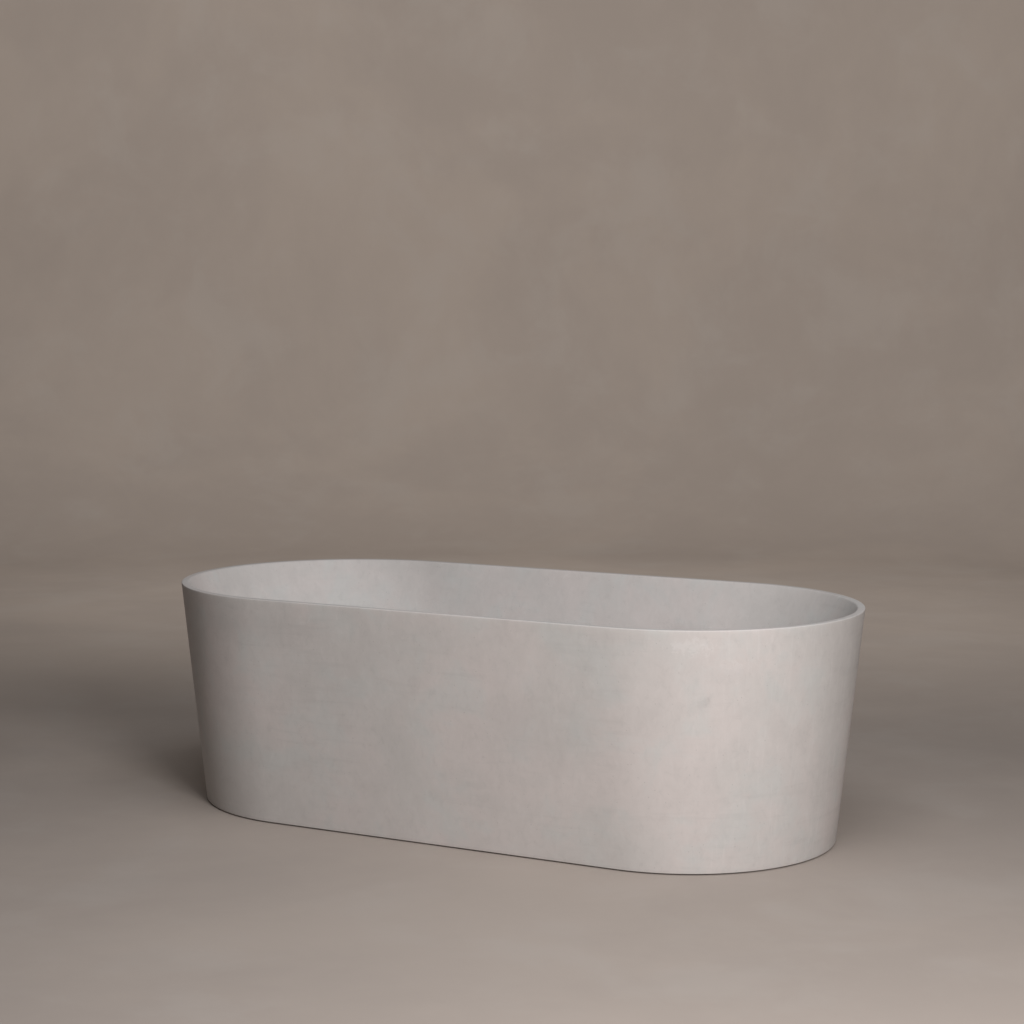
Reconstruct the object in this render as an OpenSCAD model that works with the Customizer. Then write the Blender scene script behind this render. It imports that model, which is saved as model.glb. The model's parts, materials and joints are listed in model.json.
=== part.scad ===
// Freestanding double-skinned bathtub: a cast basin bonded inside a cast tapered skirt,
// on a bolted steel frame with four screw feet, with a push plug waste and a slot overflow.
// Millimetres. Origin on the floor under the middle of the tub, X along it, Z up.

/* [Outside] */
// Length over the rim
tub_l = 1750; // [1500:10:2100]
// Width over the rim
tub_w = 850; // [720:10:1020]
// Height of the rim above the floor
tub_h = 550; // [460:10:660]
// How far the outside draws in between rim and floor, on every side
taper = 58; // [40:1:70]
// Thickness of the skirt, measured level
skirt_wall = 9; // [7:0.5:12]
// Gap under the skirt when the tub stands on its feet
floor_gap = 3; // [2:0.5:10]
// Chamfer on the skirt's lower edges
skirt_chamfer = 1.5; // [0.5:0.5:3]

/* [Basin] */
// Height of the bathing floor above the ground
floor_z = 130; // [128:1:160]
// Width of the flat part of the bathing floor
floor_w = 296; // [270:2:356]
// Lean of the basin's walls from upright, in degrees
wall_angle = 12; // [10:0.5:14]
// How much further the basin's ends lean back, level distance for each unit of height
end_lean = 0.3; // [0.1:0.01:0.36]
// Thickness of the basin
basin_wall = 9; // [8:0.5:12]
// Depth of the rim's lip, which sits on the skirt
lip_h = 12; // [10:1:16]
// Radius of the rim's outer edge
rim_outer_r = 2.5; // [1:0.5:4]
// Radius of the rim's inner edge
rim_inner_r = 4; // [2:0.5:6]
// Width of the resin joint between basin and skirt, just under the lip
bond_line = 1; // [0.5:0.1:2]
// Depth of that resin joint
bond_h = 38; // [20:1:60]

/* [Frame] */
// Thickness of the resin pads between basin and frame
pad_h = 10; // [6:1:16]
// Length of one resin pad
pad_l = 80; // [50:5:110]
// Width of a rail and of a crossbar
bar_w = 40; // [34:1:50]
// Height of a rail
rail_h = 25; // [20:1:30]
// Height of a crossbar
crossbar_h = 30; // [28:1:36]
// Wall of the steel tube
tube_wall = 2; // [1.5:0.5:3]
// Distance from a crossbar's end to the skirt
crossbar_end_gap = 74; // [60:1:90]
// Diameter of the bolts that join rails and crossbars
frame_bolt_d = 8; // [6:1:10]
// Thickness of the skirt brackets
bracket_t = 3; // [2:0.5:5]
// Height of the bracket's leg on the skirt
bracket_leg = 47; // [30:1:60]
// Diameter of the bracket screws
bracket_screw_d = 6; // [5:1:8]

/* [Feet] */
// Diameter of a foot's screw
stud_d = 12; // [10:1:14]
// Distance from a foot's centre to the end of its crossbar
foot_inset = 40; // [34:1:50]
// Diameter of a foot's pad
foot_pad_d = 50; // [40:1:60]
// Height of a foot's pad without its sole
foot_pad_h = 12; // [10:1:16]
// Thickness of a foot's rubber sole
sole_h = 3; // [2:0.5:5]
// Diameter of the ball on the screw's lower end
stud_ball_d = 14; // [12:0.5:15]
// Height of the lock nut
locknut_h = 10; // [8:1:12]

/* [Waste] */
// Diameter of the drain hole through the basin
drain_hole_d = 51; // [50:0.5:60]
// Diameter of the drain flange
flange_d = 70; // [68:1:80]
// Thickness of the drain flange at its edge
flange_t = 3; // [2:0.5:4]
// Diameter of the plug's cap
cap_d = 60; // [58:1:66]
// Outside diameter of the flange's threaded tail
tail_d = 48; // [46:0.5:50]
// Wall of the threaded tail
tail_wall = 2.5; // [2:0.5:3]
// Diameter of the plug's stem
stem_d = 7; // [5:0.5:8]
// Outside diameter of the push cartridge
cartridge_d = 16.6; // [15:0.2:19]
// How far the plug rises to open
plug_lift = 8; // [5:0.5:10]
// Outside diameter of the waste body
waste_d = 58; // [56:1:64]
// Wall of the waste body
waste_wall = 3; // [2:0.5:4]
// Outside diameter of the tail pipe
pipe_d = 40; // [36:1:44]
// Wall of the tail pipe
pipe_wall = 2; // [1.5:0.5:3]
// Height of the tail pipe's open end above the floor
pipe_end_z = 4; // [2:0.5:8]

/* [Overflow] */
// Height of the overflow slot's middle below the rim
overflow_drop = 90; // [80:1:110]
// Length of the overflow slot
slot_l = 60; // [40:1:80]
// Height of the overflow slot
slot_h = 10; // [8:0.5:14]
// Outside diameter of the overflow hose
hose_d = 20; // [18:0.5:22]
// Wall of the overflow hose
hose_wall = 2; // [1.5:0.5:2.5]
// Radius of the hose's bend, to its middle
hose_bend_r = 80; // [50:1:100]

/* [Hidden] */
$fn = 96;
tiny = 0.01;
slide_fit = 0.3;       // between pieces that move past each other
thread_fit = 0.1;      // between a male and a female thread, drawn plain
clear = 1;             // between neighbours that must not touch

FEET = ["left_front", "right_front", "left_back", "right_back"];

// Shells
span = (tub_l - tub_w) / 2;                  // from the middle to the centre of each round end
seam_z = tub_h - lip_h;
taper_slope = taper / tub_h;
taper_angle = atan(taper_slope);
wall_slope = tan(wall_angle);
level_wall = basin_wall / cos(wall_angle);   // the basin's wall, measured level

function skirt_out(z) = tub_w / 2 - taper_slope * (tub_h - z);
function skirt_in(z) = skirt_out(z) - skirt_wall;

rim_in = skirt_in(seam_z) - bond_line - level_wall + wall_slope * lip_h;
function basin_in(z) = rim_in - wall_slope * (tub_h - z);
function basin_out(z) = basin_in(z) + level_wall;

floor_half = floor_w / 2;
corner_r = (rim_in - wall_slope * (tub_h - floor_z) - floor_half)
           / (cos(wall_angle) - wall_slope * (1 - sin(wall_angle)));
corner = [floor_half, floor_z + corner_r];
wall_dir = [cos(wall_angle), -sin(wall_angle)];   // out of the basin, square to its wall
under_z = floor_z - basin_wall;
floor_span = span - end_lean * (tub_h - floor_z);         // as span, but for the bathing floor
lip_inner = basin_out(seam_z) - end_lean * lip_h - 2;     // inside the wall all round

// Frame
rail_top = under_z - pad_h;
rail_bottom = rail_top - rail_h;
crossbar_bottom = rail_bottom - crossbar_h;
rail_inset = 13;                                 // from a rail to the edge of the flat floor
rail_y = floor_half - bar_w / 2 - rail_inset;
crossbar_inset = 30;                             // from a crossbar to the centre of its round end
crossbar_x = span - crossbar_inset;
rail_overhang = 25;
rail_half = crossbar_x + bar_w / 2 + rail_overhang;
crossbar_half = skirt_in(crossbar_bottom) - crossbar_end_gap;
pad_inset = 15;
pad_x = [for (s = [-1, 1], a = [floor_span / 2, floor_span]) s * (a - pad_inset)];
frame_bolt_r = frame_bolt_d / 2;
frame_nut_h = 0.8 * frame_bolt_d;
washer_t = 1.6;
washer_r = frame_bolt_r + 4;
bolt_end_gap = 1.5;                              // from a bolt's end to the basin
bracket_edge = 11;                               // from a bracket screw to the end of its bar and bracket
bracket_hole_y = crossbar_half - bracket_edge;

// Feet
foot_y = crossbar_half - foot_inset;
FOOT_AT = [for (y = [-1, 1], x = [-1, 1]) [x * crossbar_x, y * foot_y]];
stud_r = stud_d / 2;
insert_wall = 2;
insert_flange_t = 1.5;
insert_l = 16;
foot_up = 3;                                     // how far a foot screws in from where it is drawn
stud_top = crossbar_bottom + crossbar_h - tube_wall - foot_up - clear;
ball_z = sole_h + 1 + stud_ball_d / 2;
collar_z = sole_h + foot_pad_h + 1.5;
collar_h = 8;

// Waste
recess_depth = 4;
recess_clear = 1;
boss_h = 6;
boss_d = flange_d + 22;
flange_seal_t = 1.5;
waste_seal_t = 4;
flange_bottom = floor_z - recess_depth + flange_seal_t;
flange_top = flange_bottom + flange_t;
tail_r = tail_d / 2;
throat_r = tail_r - tail_wall;
seat_h = 6;
seat_r = throat_r + 3.5;
neck_r = drain_hole_d / 2 - slide_fit;         // the tail's plain neck, in the drain hole
neck_h = 8;
tail_bottom = flange_bottom - 36;
spider_z = tail_bottom + 4;
spider_t = 4;
cartridge_r = cartridge_d / 2;
hub_r = cartridge_r + thread_fit + 2.6;
boss_bottom = under_z - boss_h;
waste_top = boss_bottom - waste_seal_t;
waste_flange_t = 4;
waste_flange_r = drain_hole_d / 2 + 14.5;
waste_r = waste_d / 2;
hose_r = hose_d / 2;
port_r = hose_r - hose_wall;                     // the spigot that the hose pushes onto
port_z = rail_bottom - hose_r - 4 * clear;
port_l = 31;
waste_bottom = port_z - 20;
socket_h = 14;
socket_r = pipe_d / 2 + 4;
nut_h = 16;
nut_top = waste_bottom - 6;
nut_bottom = nut_top - nut_h;
pipe_r = pipe_d / 2;
pipe_neck_r = pipe_r - 0.4;                      // the end inside the nut is sized down a little

// Plug, drawn closed
cap_bottom = flange_top + 0.9;
cap_t = 4.5;
stopper_r = throat_r - 1.1;
stopper_bottom = flange_top - seat_h - 1.5;
oring_r = 1.5;
oring_z = flange_top - seat_h + 2.8;
stem_r = stem_d / 2;
cartridge_bottom = spider_z - 10;
cartridge_h = 31;
cartridge_floor = 3;
cartridge_lid = 3;
cartridge_bore_r = cartridge_r - 1.5;
piston_r = cartridge_bore_r - slide_fit;
piston_t = 3;
spring_wire_r = 0.7;
spring_turns = 5;
spring_z = cartridge_bottom + cartridge_floor;
piston_z = cartridge_bottom + cartridge_h - cartridge_lid - piston_t - plug_lift - clear;

// Overflow, in the plane of the front wall: x along the tub, y up the wall, z out of the basin
overflow_z = tub_h - overflow_drop;
trim_lip = 3;
trim_t = 1;
gasket_t = 1;
clamp_w = 9;
clamp_t = 1.2;
duct_top = slot_h / 2 + 7;
duct_wall = 1.5;
duct_half = slot_l / 2 + 12;
duct_neck_half = hose_r + 4;
duct_neck_h = 28;                                // of the narrow part at its foot
duct_foot_h = 20;                                // of the deep part at its foot
duct_shoulder_h = 60;                            // from its foot to where it is slim
duct_back = basin_wall + gasket_t;
spigot_at = basin_wall + clear + clamp_t + hose_r;   // the spigot's middle, from the wall's inner face
duct_deep = 2 * (spigot_at - duct_back);
duct_slim = (skirt_in(overflow_z + duct_top) - basin_out(overflow_z + duct_top) - clear)
            * cos(wall_angle) - gasket_t;
spigot_l = 22;

// The height where the shells are far enough apart for something that deep, square to the basin's wall
function room_z(deep) = tub_h - (deep * (cos(wall_angle) + taper_slope * sin(wall_angle))
                                 - (skirt_in(tub_h) - rim_in)) / (wall_slope - taper_slope);

duct_l = max(100, duct_foot_h + (overflow_z - room_z(duct_back + duct_deep + clear)) / cos(wall_angle));

// Hose: down along the wall, round one bend, then level to the waste body
hose_top = [-basin_in(overflow_z) + duct_l * sin(wall_angle) - spigot_at * cos(wall_angle),
            overflow_z - duct_l * cos(wall_angle) - spigot_at * sin(wall_angle)];
hose_turn = 90 - wall_angle;
bend_start_z = port_z + hose_bend_r * (1 - cos(hose_turn));
hose_drop = (hose_top[1] - bend_start_z) / cos(wall_angle);
bend_start_y = hose_top[0] + hose_drop * sin(wall_angle);
bend_end_y = bend_start_y + hose_bend_r * sin(hose_turn);
port_end_y = -(waste_r + port_l);
hose_grip = 24;                                  // how far the hose is pushed onto the waste's spigot
hose_sides = 32;
hose_steps = 12;

// ---- Shapes that repeat ----

// Sweeps a profile, drawn as distance from the middle line and height, round the tub
module round_tub() {
    for (end = [-1, 1])
        translate([end * span, 0, 0])
            rotate([0, 0, end > 0 ? -90 : 90]) rotate_extrude(angle = 180) children();
    for (side = [0, 1])
        mirror([0, side, 0])
            translate([-span, 0, 0]) rotate([90, 0, 90]) linear_extrude(2 * span) children();
}

// The same sweep with both ends leaning out by end_lean, measured from the rim
module leaning_tub() {
    far = 2 * tub_l;
    shear = [[1, 0, end_lean, span - end_lean * tub_h], [0, 1, 0, 0], [0, 0, 1, 0]];
    for (end = [0, 1])
        mirror([end, 0, 0]) multmatrix(shear) rotate([0, 0, -90]) rotate_extrude(angle = 180) children();
    for (side = [0, 1])
        mirror([0, side, 0]) intersection() {
            rotate([90, 0, 90]) linear_extrude(far, center = true) children();
            rotate([90, 0, 0]) linear_extrude(far, center = true) polygon([
                for (p = [[-1, 0], [1, 0], [1, 2 * tub_h], [-1, 2 * tub_h]])
                    [p[0] * (span + end_lean * (p[1] - tub_h)), p[1]]]);
        }
}

// A slice of a disc between two angles less than half a turn apart
module slice(r, from, to) {
    far = 2 * r;
    mid = (from + to) / 2;
    intersection() {
        circle(r);
        polygon([[0, 0], far * [cos(from), sin(from)], 1.5 * far * [cos(mid), sin(mid)],
                 far * [cos(to), sin(to)]]);
    }
}

module ring(r_out, r_in, h) {
    difference() {
        cylinder(r = r_out, h = h);
        translate([0, 0, -1]) cylinder(r = r_in, h = h + 2);
    }
}

module hex_nut(r_in, across, h) {
    difference() {
        cylinder(d = across / cos(30), h = h, $fn = 6);
        translate([0, 0, -1]) cylinder(r = r_in, h = h + 2);
    }
}

// A slot's outline, l long over its round ends and h high
module slot_outline(l, h) {
    for (s = [-1, 1]) translate([s * (l - h) / 2, 0]) circle(d = h);
    square([l - h, h], center = true);
}

// The closed skin through a row of rings, each a list of points in the same order
module swept(rings) {
    n = len(rings) - 1;
    sides = len(rings[0]);
    walls = [for (i = [0:n - 1], k = [0:sides - 1])
        let (m = (k + 1) % sides, a = i * sides)
        [a + k, a + sides + k, a + sides + m, a + m]];
    first = [for (k = [0:sides - 1]) k];
    last = [for (k = [sides - 1:-1:0]) n * sides + k];
    polyhedron([for (r = rings) each r], concat(walls, [first, last]), convexity = 6);
}

module at_each_foot() {
    for (p = FOOT_AT) translate([p[0], p[1], 0]) children();
}

module at_each_joint() {
    for (x = [-1, 1], y = [-1, 1]) translate([x * crossbar_x, y * rail_y, 0]) children();
}

// Puts z square to the front wall, with its inner face at 0, at the overflow's height
module on_front_wall() {
    translate([0, -basin_in(overflow_z), overflow_z]) rotate([90 + wall_angle, 0, 0]) children();
}

module box_tube(l, w, h) {
    difference() {
        translate([-l / 2, -w / 2, 0]) cube([l, w, h]);
        translate([-l / 2 - 1, -w / 2 + tube_wall, tube_wall])
            cube([l + 2, w - 2 * tube_wall, h - 2 * tube_wall]);
    }
}

// ---- Shells ----

module outer_skirt() {
    z0 = floor_gap;
    c = skirt_chamfer;
    color("gainsboro") round_tub() polygon([
        [skirt_in(z0) + c, z0], [skirt_out(z0) - c, z0], [skirt_out(z0 + c), z0 + c],
        [skirt_out(seam_z), seam_z], [skirt_in(seam_z), seam_z], [skirt_in(z0 + c), z0 + c]]);
}

// The rim's outer part, which follows the skirt
module lip_profile() {
    outer = [skirt_out(tub_h - rim_outer_r) - rim_outer_r / cos(taper_angle), tub_h - rim_outer_r];
    polygon([
        [lip_inner, seam_z], [skirt_out(seam_z), seam_z],
        outer + rim_outer_r * [cos(taper_angle), -sin(taper_angle)], outer, [outer[0], tub_h],
        [lip_inner, tub_h]]);
    translate(outer) slice(rim_outer_r, -taper_angle, 90);
}

// Floor, corner and wall, up to the rim's rounded inner edge
module basin_profile() {
    inner = [basin_in(tub_h - rim_inner_r) + rim_inner_r / cos(wall_angle), tub_h - rim_inner_r];
    // The wall's foot is keyed into the corner, so that the two always join
    key = corner + (corner_r + basin_wall / 2) * wall_dir + basin_wall / 3 * [wall_dir[1], -wall_dir[0]];
    translate([0, under_z]) square([floor_half, basin_wall]);
    translate(corner) difference() {
        slice(corner_r + basin_wall, -90, -wall_angle);
        circle(corner_r);
    }
    polygon([corner + corner_r * wall_dir, key, corner + (corner_r + basin_wall) * wall_dir,
             [basin_out(tub_h), tub_h], [inner[0], tub_h], inner, inner - rim_inner_r * wall_dir]);
    translate(inner) slice(rim_inner_r, 90, 180 - wall_angle);
}

module inner_basin() {
    color("whitesmoke") difference() {
        union() {
            leaning_tub() basin_profile();
            round_tub() lip_profile();
            translate([0, 0, boss_bottom]) cylinder(d = boss_d, h = boss_h + 1);
        }
        translate([0, 0, floor_z - recess_depth])
            cylinder(d = flange_d + 2 * recess_clear, h = recess_depth + 1);
        translate([0, 0, boss_bottom - 1]) cylinder(d = drain_hole_d, h = boss_h + basin_wall + 2);
        on_front_wall() translate([0, 0, -5]) linear_extrude(basin_wall + 10) slot_outline(slot_l, slot_h);
    }
}

// Fills the joint between basin and skirt under the lip; the basin's ends lean away from it
module rim_bond() {
    low = seam_z - bond_h;
    color("ivory") round_tub() polygon([
        [basin_out(seam_z), seam_z], [basin_out(low), low],
        [skirt_in(low), low], [skirt_in(seam_z), seam_z]]);
}

// ---- Frame ----

module bonding_pads() {
    color("tan") for (x = pad_x, y = [-rail_y, rail_y])
        translate([x - pad_l / 2, y - bar_w / 2, rail_top]) cube([pad_l, bar_w, pad_h]);
}

module rail(side) {
    color("silver") difference() {
        translate([0, side * rail_y, rail_bottom]) box_tube(2 * rail_half, bar_w, rail_h);
        at_each_joint() translate([0, 0, rail_bottom - 1])
            cylinder(r = frame_bolt_r + thread_fit, h = rail_h + 2);
    }
}

module crossbar(side) {
    color("silver") difference() {
        translate([side * crossbar_x, 0, crossbar_bottom]) rotate([0, 0, 90])
            box_tube(2 * crossbar_half, bar_w, crossbar_h);
        at_each_joint() translate([0, 0, crossbar_bottom - 1])
            cylinder(r = frame_bolt_r + thread_fit, h = crossbar_h + 2);
        at_each_foot() translate([0, 0, crossbar_bottom - 1])
            cylinder(r = stud_r + slide_fit + insert_wall, h = tube_wall + 2);
        at_each_bracket_screw() translate([0, 0, crossbar_bottom - 1])
            cylinder(d = bracket_screw_d + 2 * thread_fit, h = tube_wall + 2);
    }
}

module frame_bolts() {
    head_z = crossbar_bottom - washer_t;
    end_z = under_z - bolt_end_gap;
    color("dimgray") at_each_joint() {
        translate([0, 0, head_z - 0.65 * frame_bolt_d])
            cylinder(d = 1.625 * frame_bolt_d / cos(30), h = 0.65 * frame_bolt_d, $fn = 6);
        translate([0, 0, head_z - tiny]) cylinder(r = frame_bolt_r, h = end_z - head_z + tiny);
    }
}

module frame_washers() {
    color("gray") at_each_joint() {
        translate([0, 0, crossbar_bottom - washer_t]) ring(washer_r, frame_bolt_r + thread_fit, washer_t);
        translate([0, 0, rail_top]) ring(washer_r, frame_bolt_r + thread_fit, washer_t);
    }
}

module frame_nuts() {
    color("dimgray") at_each_joint() translate([0, 0, rail_top + washer_t])
        hex_nut(frame_bolt_r + thread_fit, 1.625 * frame_bolt_d, frame_nut_h);
}

module at_each_bracket_screw() {
    for (x = [-1, 1], y = [-1, 1]) translate([x * crossbar_x, y * bracket_hole_y, 0]) children();
}

module skirt_brackets() {
    z0 = crossbar_bottom - bracket_t;
    z1 = crossbar_bottom;
    z2 = z0 + bracket_leg;
    start = bracket_hole_y - bracket_edge;
    color("lightslategray") for (x = [-1, 1], y = [0, 1]) mirror([0, y, 0]) difference() {
        translate([x * crossbar_x - bar_w / 2, 0, 0]) rotate([90, 0, 90]) linear_extrude(bar_w) polygon([
            [start, z0], [skirt_in(z0), z0], [skirt_in(z2), z2], [skirt_in(z2) - bracket_t, z2],
            [skirt_in(z1) - bracket_t, z1], [start, z1]]);
        translate([x * crossbar_x, bracket_hole_y, z0 - 1])
            cylinder(d = bracket_screw_d + 2 * thread_fit, h = bracket_t + 2);
    }
}

module bracket_screws() {
    head_t = 3.5;
    color("dimgray") at_each_bracket_screw() {
        translate([0, 0, crossbar_bottom - bracket_t - head_t]) cylinder(r1 = 4.5, r2 = 5.5, h = head_t);
        translate([0, 0, crossbar_bottom - bracket_t - tiny])
            cylinder(d = bracket_screw_d, h = bracket_t + tube_wall + 6);
    }
}

// ---- Feet ----

module foot_inserts() {
    r_in = stud_r + slide_fit;
    color("goldenrod") at_each_foot() translate([0, 0, crossbar_bottom - insert_flange_t]) {
        difference() {
            union() {
                cylinder(r = r_in + insert_wall + 3.5, h = insert_flange_t);
                cylinder(r = r_in + insert_wall, h = insert_flange_t + insert_l);
            }
            translate([0, 0, -1]) cylinder(r = r_in, h = insert_l + insert_flange_t + 2);
        }
    }
}

module foot_stud(i) {
    neck_z = ball_z + stud_ball_d / 4;
    color("silver") translate([FOOT_AT[i][0], FOOT_AT[i][1], 0]) {
        translate([0, 0, ball_z]) sphere(d = stud_ball_d);
        translate([0, 0, neck_z]) cylinder(r = stud_r - 2, h = collar_z - neck_z + 1);
        translate([0, 0, collar_z]) cylinder(d = (stud_d + 5) / cos(30), h = collar_h, $fn = 6);
        translate([0, 0, collar_z + 1]) cylinder(r = stud_r, h = stud_top - collar_z - 2.5);
        translate([0, 0, stud_top - 1.5]) cylinder(r1 = stud_r, r2 = stud_r - 1.5, h = 1.5);
    }
}

module foot_pad(i) {
    color("darkslategray") translate([FOOT_AT[i][0], FOOT_AT[i][1], 0]) difference() {
        union() {
            translate([0, 0, sole_h]) cylinder(d = foot_pad_d, h = 4);
            translate([0, 0, sole_h + 4])
                cylinder(d1 = foot_pad_d - 2, d2 = stud_ball_d + 8, h = foot_pad_h - 4);
        }
        translate([0, 0, ball_z]) sphere(r = stud_ball_d / 2 + slide_fit);
        translate([0, 0, ball_z]) cylinder(r = stud_ball_d / 2 - 0.6, h = foot_pad_h);
    }
}

module foot_sole(i) {
    color("black") translate([FOOT_AT[i][0], FOOT_AT[i][1], 0]) cylinder(d = foot_pad_d, h = sole_h);
}

module foot_locknut(i) {
    color("silver") translate([FOOT_AT[i][0], FOOT_AT[i][1], crossbar_bottom - insert_flange_t - locknut_h])
        hex_nut(stud_r + slide_fit, stud_d + 7, locknut_h);
}

// ---- Waste ----

module drain_flange() {
    color("lightsteelblue") {
        difference() {
            union() {
                translate([0, 0, flange_bottom]) cylinder(d = flange_d, h = flange_t - 1);
                translate([0, 0, flange_top - 1]) cylinder(d1 = flange_d, d2 = flange_d - 2, h = 1);
                translate([0, 0, flange_bottom - neck_h]) cylinder(r = neck_r, h = neck_h + 1);
                translate([0, 0, tail_bottom]) cylinder(r = tail_r, h = flange_bottom - tail_bottom + 1);
            }
            translate([0, 0, tail_bottom - 1]) cylinder(r = throat_r, h = flange_top - tail_bottom + 2);
            translate([0, 0, flange_top - seat_h]) cylinder(r1 = throat_r, r2 = seat_r, h = seat_h);
            translate([0, 0, flange_top - tiny]) cylinder(r = seat_r, h = 1);
        }
        difference() {
            translate([0, 0, spider_z]) {
                cylinder(r = hub_r, h = spider_t);
                for (a = [0, 90]) rotate([0, 0, a])
                    translate([-throat_r - 1, -1.75, 0]) cube([2 * throat_r + 2, 3.5, spider_t]);
            }
            translate([0, 0, spider_z - 1]) cylinder(r = cartridge_r + thread_fit, h = spider_t + 2);
        }
    }
}

module flange_seal() {
    color("dimgray") translate([0, 0, floor_z - recess_depth])
        ring(flange_d / 2 - 1, drain_hole_d / 2, flange_seal_t);
}

module waste_seal() {
    color("dimgray") translate([0, 0, waste_top]) ring(waste_flange_r - 2, drain_hole_d / 2, waste_seal_t);
}

module waste_body() {
    chamber_top = tail_bottom - 3;
    color("white") difference() {
        union() {
            translate([0, 0, waste_top - waste_flange_t]) cylinder(r = waste_flange_r, h = waste_flange_t);
            translate([0, 0, waste_bottom]) cylinder(r = waste_r, h = waste_top - waste_bottom);
            translate([0, 0, waste_bottom - socket_h]) cylinder(r = socket_r, h = socket_h + 1);
            translate([0, 0, port_z]) rotate([90, 0, 0]) cylinder(r = port_r, h = waste_r + port_l);
        }
        translate([0, 0, waste_bottom + waste_wall])
            cylinder(r = waste_r - waste_wall, h = chamber_top - waste_bottom - waste_wall);
        translate([0, 0, chamber_top - 1]) cylinder(r = tail_r + thread_fit, h = waste_top - chamber_top + 2);
        translate([0, 0, waste_bottom - socket_h - 1])
            cylinder(r = pipe_neck_r + thread_fit, h = socket_h + waste_wall + 2);
        translate([0, -waste_r + waste_wall + 1, port_z]) rotate([90, 0, 0])
            cylinder(r = port_r - 2, h = port_l + waste_wall + 2);
    }
}

module tail_pipe() {
    top = waste_bottom - 1;
    color("white") translate([0, 0, pipe_end_z]) difference() {
        union() {
            cylinder(r = pipe_r, h = nut_bottom - pipe_end_z);
            translate([0, 0, nut_bottom - pipe_end_z - tiny])
                cylinder(r = pipe_neck_r, h = top - nut_bottom + tiny);
        }
        translate([0, 0, -1]) cylinder(r = pipe_r - pipe_wall, h = top - pipe_end_z + 2);
    }
}

module tail_seal() {
    color("black") translate([0, 0, waste_bottom - socket_h - 4])
        ring(socket_r - 1, pipe_neck_r, 4);
}

module tail_nut() {
    lip = waste_bottom - socket_h - 4 - nut_bottom;
    color("white") translate([0, 0, nut_bottom]) difference() {
        cylinder(r = socket_r + 3.5, h = nut_h);
        translate([0, 0, lip]) cylinder(r = socket_r + thread_fit, h = nut_h);
        translate([0, 0, -1]) cylinder(r = pipe_neck_r + thread_fit, h = nut_h);
        for (a = [0:30:330]) rotate([0, 0, a])
            translate([socket_r + 4.6, 0, -1]) cylinder(r = 2, h = nut_h + 2);
    }
}

// ---- Push plug ----

module plug_cap() {
    color("lightsteelblue") difference() {
        union() {
            translate([0, 0, cap_bottom]) cylinder(d = cap_d, h = cap_t - 1.5);
            translate([0, 0, cap_bottom + cap_t - 1.5]) cylinder(d1 = cap_d, d2 = cap_d - 5, h = 1.5);
            translate([0, 0, stopper_bottom]) cylinder(r = stopper_r, h = cap_bottom - stopper_bottom + tiny);
        }
        translate([0, 0, stopper_bottom - 1])
            cylinder(r = stem_r + thread_fit, h = cap_bottom - stopper_bottom + 1);
        seal_ring();
    }
}

module seal_ring() {
    translate([0, 0, oring_z]) rotate_extrude() translate([stopper_r + 0.6, 0]) circle(r = oring_r, $fn = 32);
}

module plug_seal() {
    color("black") seal_ring();
}

module plug_stem() {
    color("silver") {
        translate([0, 0, piston_z]) cylinder(r = piston_r, h = piston_t);
        translate([0, 0, piston_z + 1]) cylinder(r = stem_r, h = cap_bottom - piston_z - 2);
    }
}

module plug_cartridge() {
    color("white") translate([0, 0, cartridge_bottom]) difference() {
        union() {
            cylinder(r = cartridge_r, h = cartridge_h);
            translate([0, 0, spider_z + spider_t - cartridge_bottom]) cylinder(r = cartridge_r + 2.4, h = 2.5);
        }
        translate([0, 0, cartridge_floor])
            cylinder(r = cartridge_bore_r, h = cartridge_h - cartridge_floor - cartridge_lid);
        translate([0, 0, cartridge_h - cartridge_lid - 1])
            cylinder(r = stem_r + slide_fit, h = cartridge_lid + 2);
    }
}

// A coil spring of round wire, as one swept tube with flat sides
module plug_spring() {
    sides = 6;
    per_turn = 14;
    r = cartridge_bore_r - spring_wire_r - 0.5;
    z0 = spring_z + spring_wire_r + 0.1;
    rise = piston_z - spring_z - 2 * spring_wire_r - 0.2;
    n = spring_turns * per_turn;
    color("gray") swept([for (i = [0:n]) [for (k = [0:sides - 1])
        let (a = 360 * i / per_turn, b = 360 * k / sides, out = r + spring_wire_r * cos(b))
        [out * cos(a), out * sin(a), z0 + rise * i / n + spring_wire_r * sin(b)]]]);
}

// ---- Overflow ----

module overflow_trim() {
    color("lightsteelblue") on_front_wall() difference() {
        union() {
            translate([0, 0, -trim_t]) linear_extrude(trim_t)
                slot_outline(slot_l + 2 * trim_lip, slot_h + 2 * trim_lip);
            translate([0, 0, -tiny]) linear_extrude(basin_wall + tiny)
                slot_outline(slot_l - 2 * thread_fit, slot_h - 2 * thread_fit);
        }
        translate([0, 0, -trim_t - 1]) linear_extrude(basin_wall + trim_t + 2)
            slot_outline(slot_l - 3, slot_h - 3);
    }
}

module overflow_gasket() {
    color("dimgray") on_front_wall() translate([0, 0, basin_wall]) linear_extrude(gasket_t) difference() {
        slot_outline(slot_l + 12, slot_h + 12);
        slot_outline(slot_l + 1, slot_h + 1);
    }
}

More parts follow.
